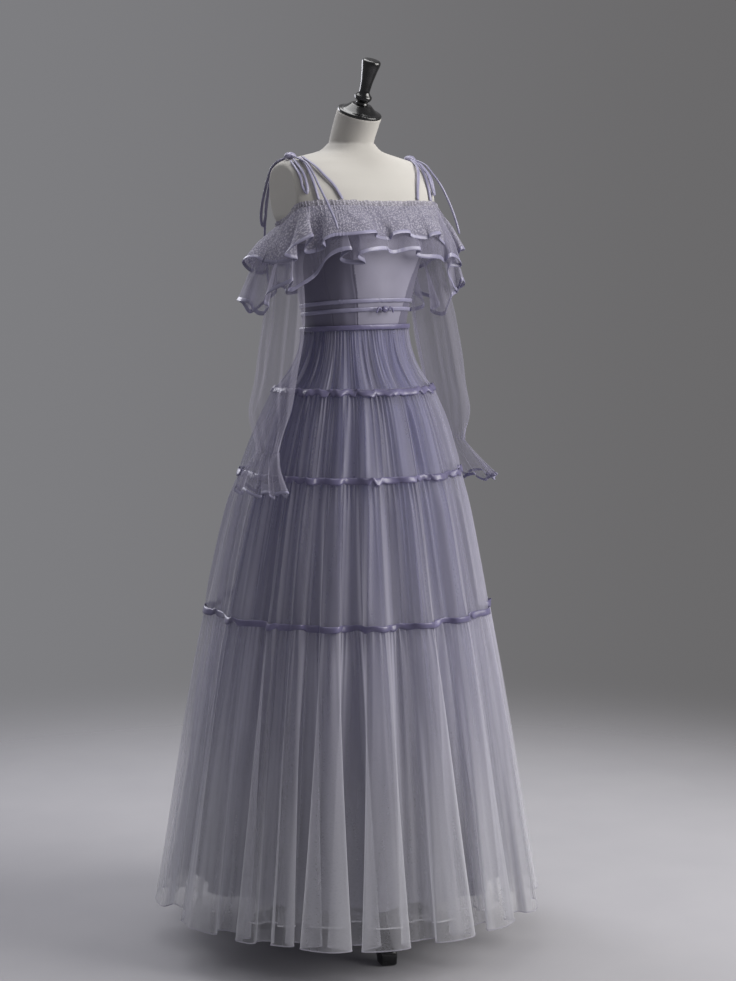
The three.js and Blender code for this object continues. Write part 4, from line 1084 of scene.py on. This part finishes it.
# %% Over the shoulder
def over_shoulder(rows, side):
    """Points off the form's shoulder, given as distance from the middle, angle from the front over the top, and
    gap. A ray from inside the shoulder is halved thirty times to find where it leaves the form."""
    x, turn, gap = np.asarray(rows, float).T
    out = np.stack([-np.cos(np.radians(turn)), np.sin(np.radians(turn))], -1)
    low, high = np.zeros(len(x)), np.full(len(x), 250.0)
    for _ in range(30):
        middle = (low + high) / 2
        y, z = SHOULDER_Y + out[:, 0] * middle, SHOULDER_Z + out[:, 1] * middle
        half, centre, front, back = section(z)
        deep = np.where(y < centre, front, back)
        share = (x / half) ** OVAL_POWER + np.abs((y - centre) / deep) ** OVAL_POWER
        inside = (z <= NECK_TOP) & (x <= PLATE) & (share < 1)
        low, high = np.where(inside, middle, low), np.where(inside, high, middle)
    return np.stack([side * x, SHOULDER_Y + out[:, 0] * (low + gap), SHOULDER_Z + out[:, 1] * (low + gap)], -1)


# places over the shoulder: distance from the middle, angle from the front over the top, and gap
STRAPS = {
    "strap_front_inner": [(94, 3.1, 4.8), (104, 20, 3.9), (117, 36, 4.6), (129, 54, 5.2), (137, 76, 4.8)],
    "strap_front_outer": [(140, 2.7, 4.6), (142, 22, 3.8), (143.5, 42, 4.2), (143.5, 60, 4.8),
                          (143.5, 76, 4.6)],
    "strap_back": [(116, 212, 4.3), (126, 190, 4.1), (134, 165, 4.3), (139, 143, 5.4), (141, 124, 5.1),
                   (142, 106, 4.5)],
}
LOOP_FRONT = [(156, 76, 4.8), (156.5, 48, 5.4), (156, 24, 5), (159.5, 14, 6), (163.5, 24, 5.4),
              (163.5, 46, 6.6), (162.5, 76, 5.2)]
# places in x, y and z; the free ends run from the knot down, in front and behind
LOOP_BACK = [(155, 94, 1516), (155, 99, 1482), (160, 101, 1466), (165.5, 99, 1482), (166, 92, 1516)]
TAILS = {
    ("front", "right"): [(-150, 10.6, 1602), (-149.8, -32, 1589.5), (-149.5, -56, 1568), (-149, -76, 1542),
                         (-147, -95, 1516), (-145, -109, 1494), (-143, -120, 1476), (-142, -127, 1459)],
    ("front", "left"): [(150, 10.6, 1602), (149.8, -30, 1590.5), (152, -52, 1572), (164, -66, 1547),
                        (175, -74, 1520), (184, -80, 1494), (191, -84, 1470), (196, -86, 1450)],
    ("back", "right"): [(-150, 30.4, 1602), (-148.5, 72, 1587), (-148, 92, 1557), (-147, 102, 1522),
                        (-147, 110, 1482), (-141, 122, 1447), (-133, 131, 1412), (-127, 135, 1382),
                        (-123, 136, 1352)],
    ("back", "left"): [(150, 30.4, 1602), (148.5, 72, 1587), (148, 92, 1557), (147, 102, 1522),
                       (147, 110, 1487), (147, 122, 1447), (148, 133, 1414), (148, 137, 1387)],
}


def knot(name, centre, half, wraps, material, replaces):
    """A pulled knot: an egg shape whose surface has the ridges of the band that winds round it."""
    around, down = np.meshgrid(np.arange(48) * 7.5, np.linspace(0, 180, 25))
    a, d = np.radians(around), np.radians(down)
    size = 1 + 0.11 * np.abs(np.sin(wraps * d + a)) + 0.05 * np.sin(3 * a + 2 * d)
    points = np.stack([half[0] * np.sin(d) * np.cos(a), half[1] * np.sin(d) * np.sin(a),
                       half[2] * np.cos(d)], -1)
    points = points * size[..., None] + centre
    return closed(make(name, points, material, replaces, size=(30, 15)))


# %% Shoulder pieces
TAIL_HALF = 2.6  # half the width of a free end, in mm
for name, side in (("left", 1), ("right", -1)):
    pieces = {strap: over_shoulder(rows, side) for strap, rows in STRAPS.items()}
    pieces["tie_loop_front"] = over_shoulder(LOOP_FRONT, side)
    pieces["tie_loop_back"] = np.vstack([over_shoulder([(155, 106, 4.5), (155, 128, 5.8)], side),
                                         np.array(LOOP_BACK) * (side, 1, 1),
                                         over_shoulder([(164, 128, 7), (162, 106, 5.4)], side)])
    for piece_name, points in pieces.items():
        line = smooth_line(points)
        tube(f"{piece_name}_satin_{name}", line, off_shoulder(line), 3.4, 1.6, SATIN, (f"{piece_name}_{name}",))
    knot(f"knot_{name}", over_shoulder([(150, 90, 7.2)], side)[0], (12.0, 8.4, 6.2), 3, SATIN,
         (f"tie_knot_{name}",))
    for end in ("front", "back"):
        line = smooth_line(TAILS[end, name], 4)
        piece = tube(f"tail_{end}_{name}", line, off_shoulder(line), TAIL_HALF, 1.8, SATIN,
                     (f"tie_tail_{end}_{name}",))
        print(piece.name, "length", round(float(np.linalg.norm(np.diff(line, axis=0), axis=1).sum())), "mm")

# %% Waist knot
middle = on_tilted_line(np.zeros(1), np.full(1, float(LOWER_BAND)), BAND_TILT, 5.7)[0] + (0, -5.2, 0)
knot("waist_knot_satin", middle, (6.6, 4.6, 5.8), 2, DARK_SATIN, ("waist_knot",))
for name, side in (("left", 1), ("right", -1)):
    route = middle + np.array([(side * 7.6, -0.5, -1), (side * 16, -1.5, 3), (side * 21, -1, -7)])
    tube(f"waist_end_{name}", smooth_line(route, 8), (0.0, -1.0, 0.0), 2.3, 1.5, DARK_SATIN,
         (f"waist_tie_end_{name}",))
print("ties made")

# %% [markdown]
# ## Rolled hems
#
# Net doesn't fray, but the two lowest hems are rolled once and stitched, so that the net lies double in a
# line about two millimetres deep. The binding that edges the ruffles makes it, only much narrower. It follows
# every fold.

# %% Rolled hems
ROLL_HEIGHT, ROLL_OUT = 2.2, 0.8
HEM_ROLL = woven("rolled_net_hem", "#dcdce2", 0.7, 0.3, 1.5, 0.10, tone_and_painted_sheen=0.10)
DOUBLE_TULLE = tulle("doubled_nylon_tulle", "#cfcdd9", 0.46, 0.30, uneven=0.05)
edging("hem_roll_outer", TIERS["tier_4_cloth"], ROLL_HEIGHT, ROLL_OUT, DOUBLE_TULLE, ())
edging("hem_roll_inner", inner_net, ROLL_HEIGHT, ROLL_OUT, HEM_ROLL, ())
print("hems rolled")

# %% [markdown]
# ## What each cloth was cut to
#
# A gathered strip is cut as long as its fullest row, measured along every pleat, and as deep as its columns. A
# strip that flares, such as a ruffle or a sleeve, is cut to its widest, and its area is the mean of its rows
# times its depth. The free ends of the ties are cords.


# %% Cuts
def cut(name, points):
    """Prints the flat size that a piece of cloth's grid was made from."""
    rows = np.linalg.norm(np.diff(np.concatenate([points, points[:, :1]], 1), axis=1), axis=2).sum(1)
    depth = np.linalg.norm(np.diff(points, axis=0), axis=2).sum(0).mean()
    width, depth, area = rows.max() / 1000, depth / 1000, rows.mean() * depth / 1e6
    print(f"{name}: cut {width:.2f} m by {depth:.3f} m, {area:.3f} square metres")


for name, under, sewn_on in (
    ("tier_1_cloth", ["waist_binding_satin", "lining_cloth"], ["ribbon_1_satin", "waist_binding_satin"]),
    ("tier_2_cloth", ["tier_1_cloth"], ["ribbon_2_satin"]),
    ("tier_3_cloth", ["tier_2_cloth"], ["ribbon_3_satin"]),
    ("tier_4_cloth", ["tier_3_cloth"], ["hem_roll_outer"]),
):
    cut(name, TIERS[name])
cut("underskirt_cloth", inner_net)
cut("lining_cloth", lining)
cut("bodice_cloth", bodice_points())
cut("ruffle_net", net_ruffle)
cut("ruffle_crinkled", lace_ruffle)
cut("heading_gathers", heading)
for name, (sleeve, cuff) in ARMS.items():
    cut(f"sleeve_net_{name}", sleeve)
    cut(f"cuff_net_{name}", cuff)
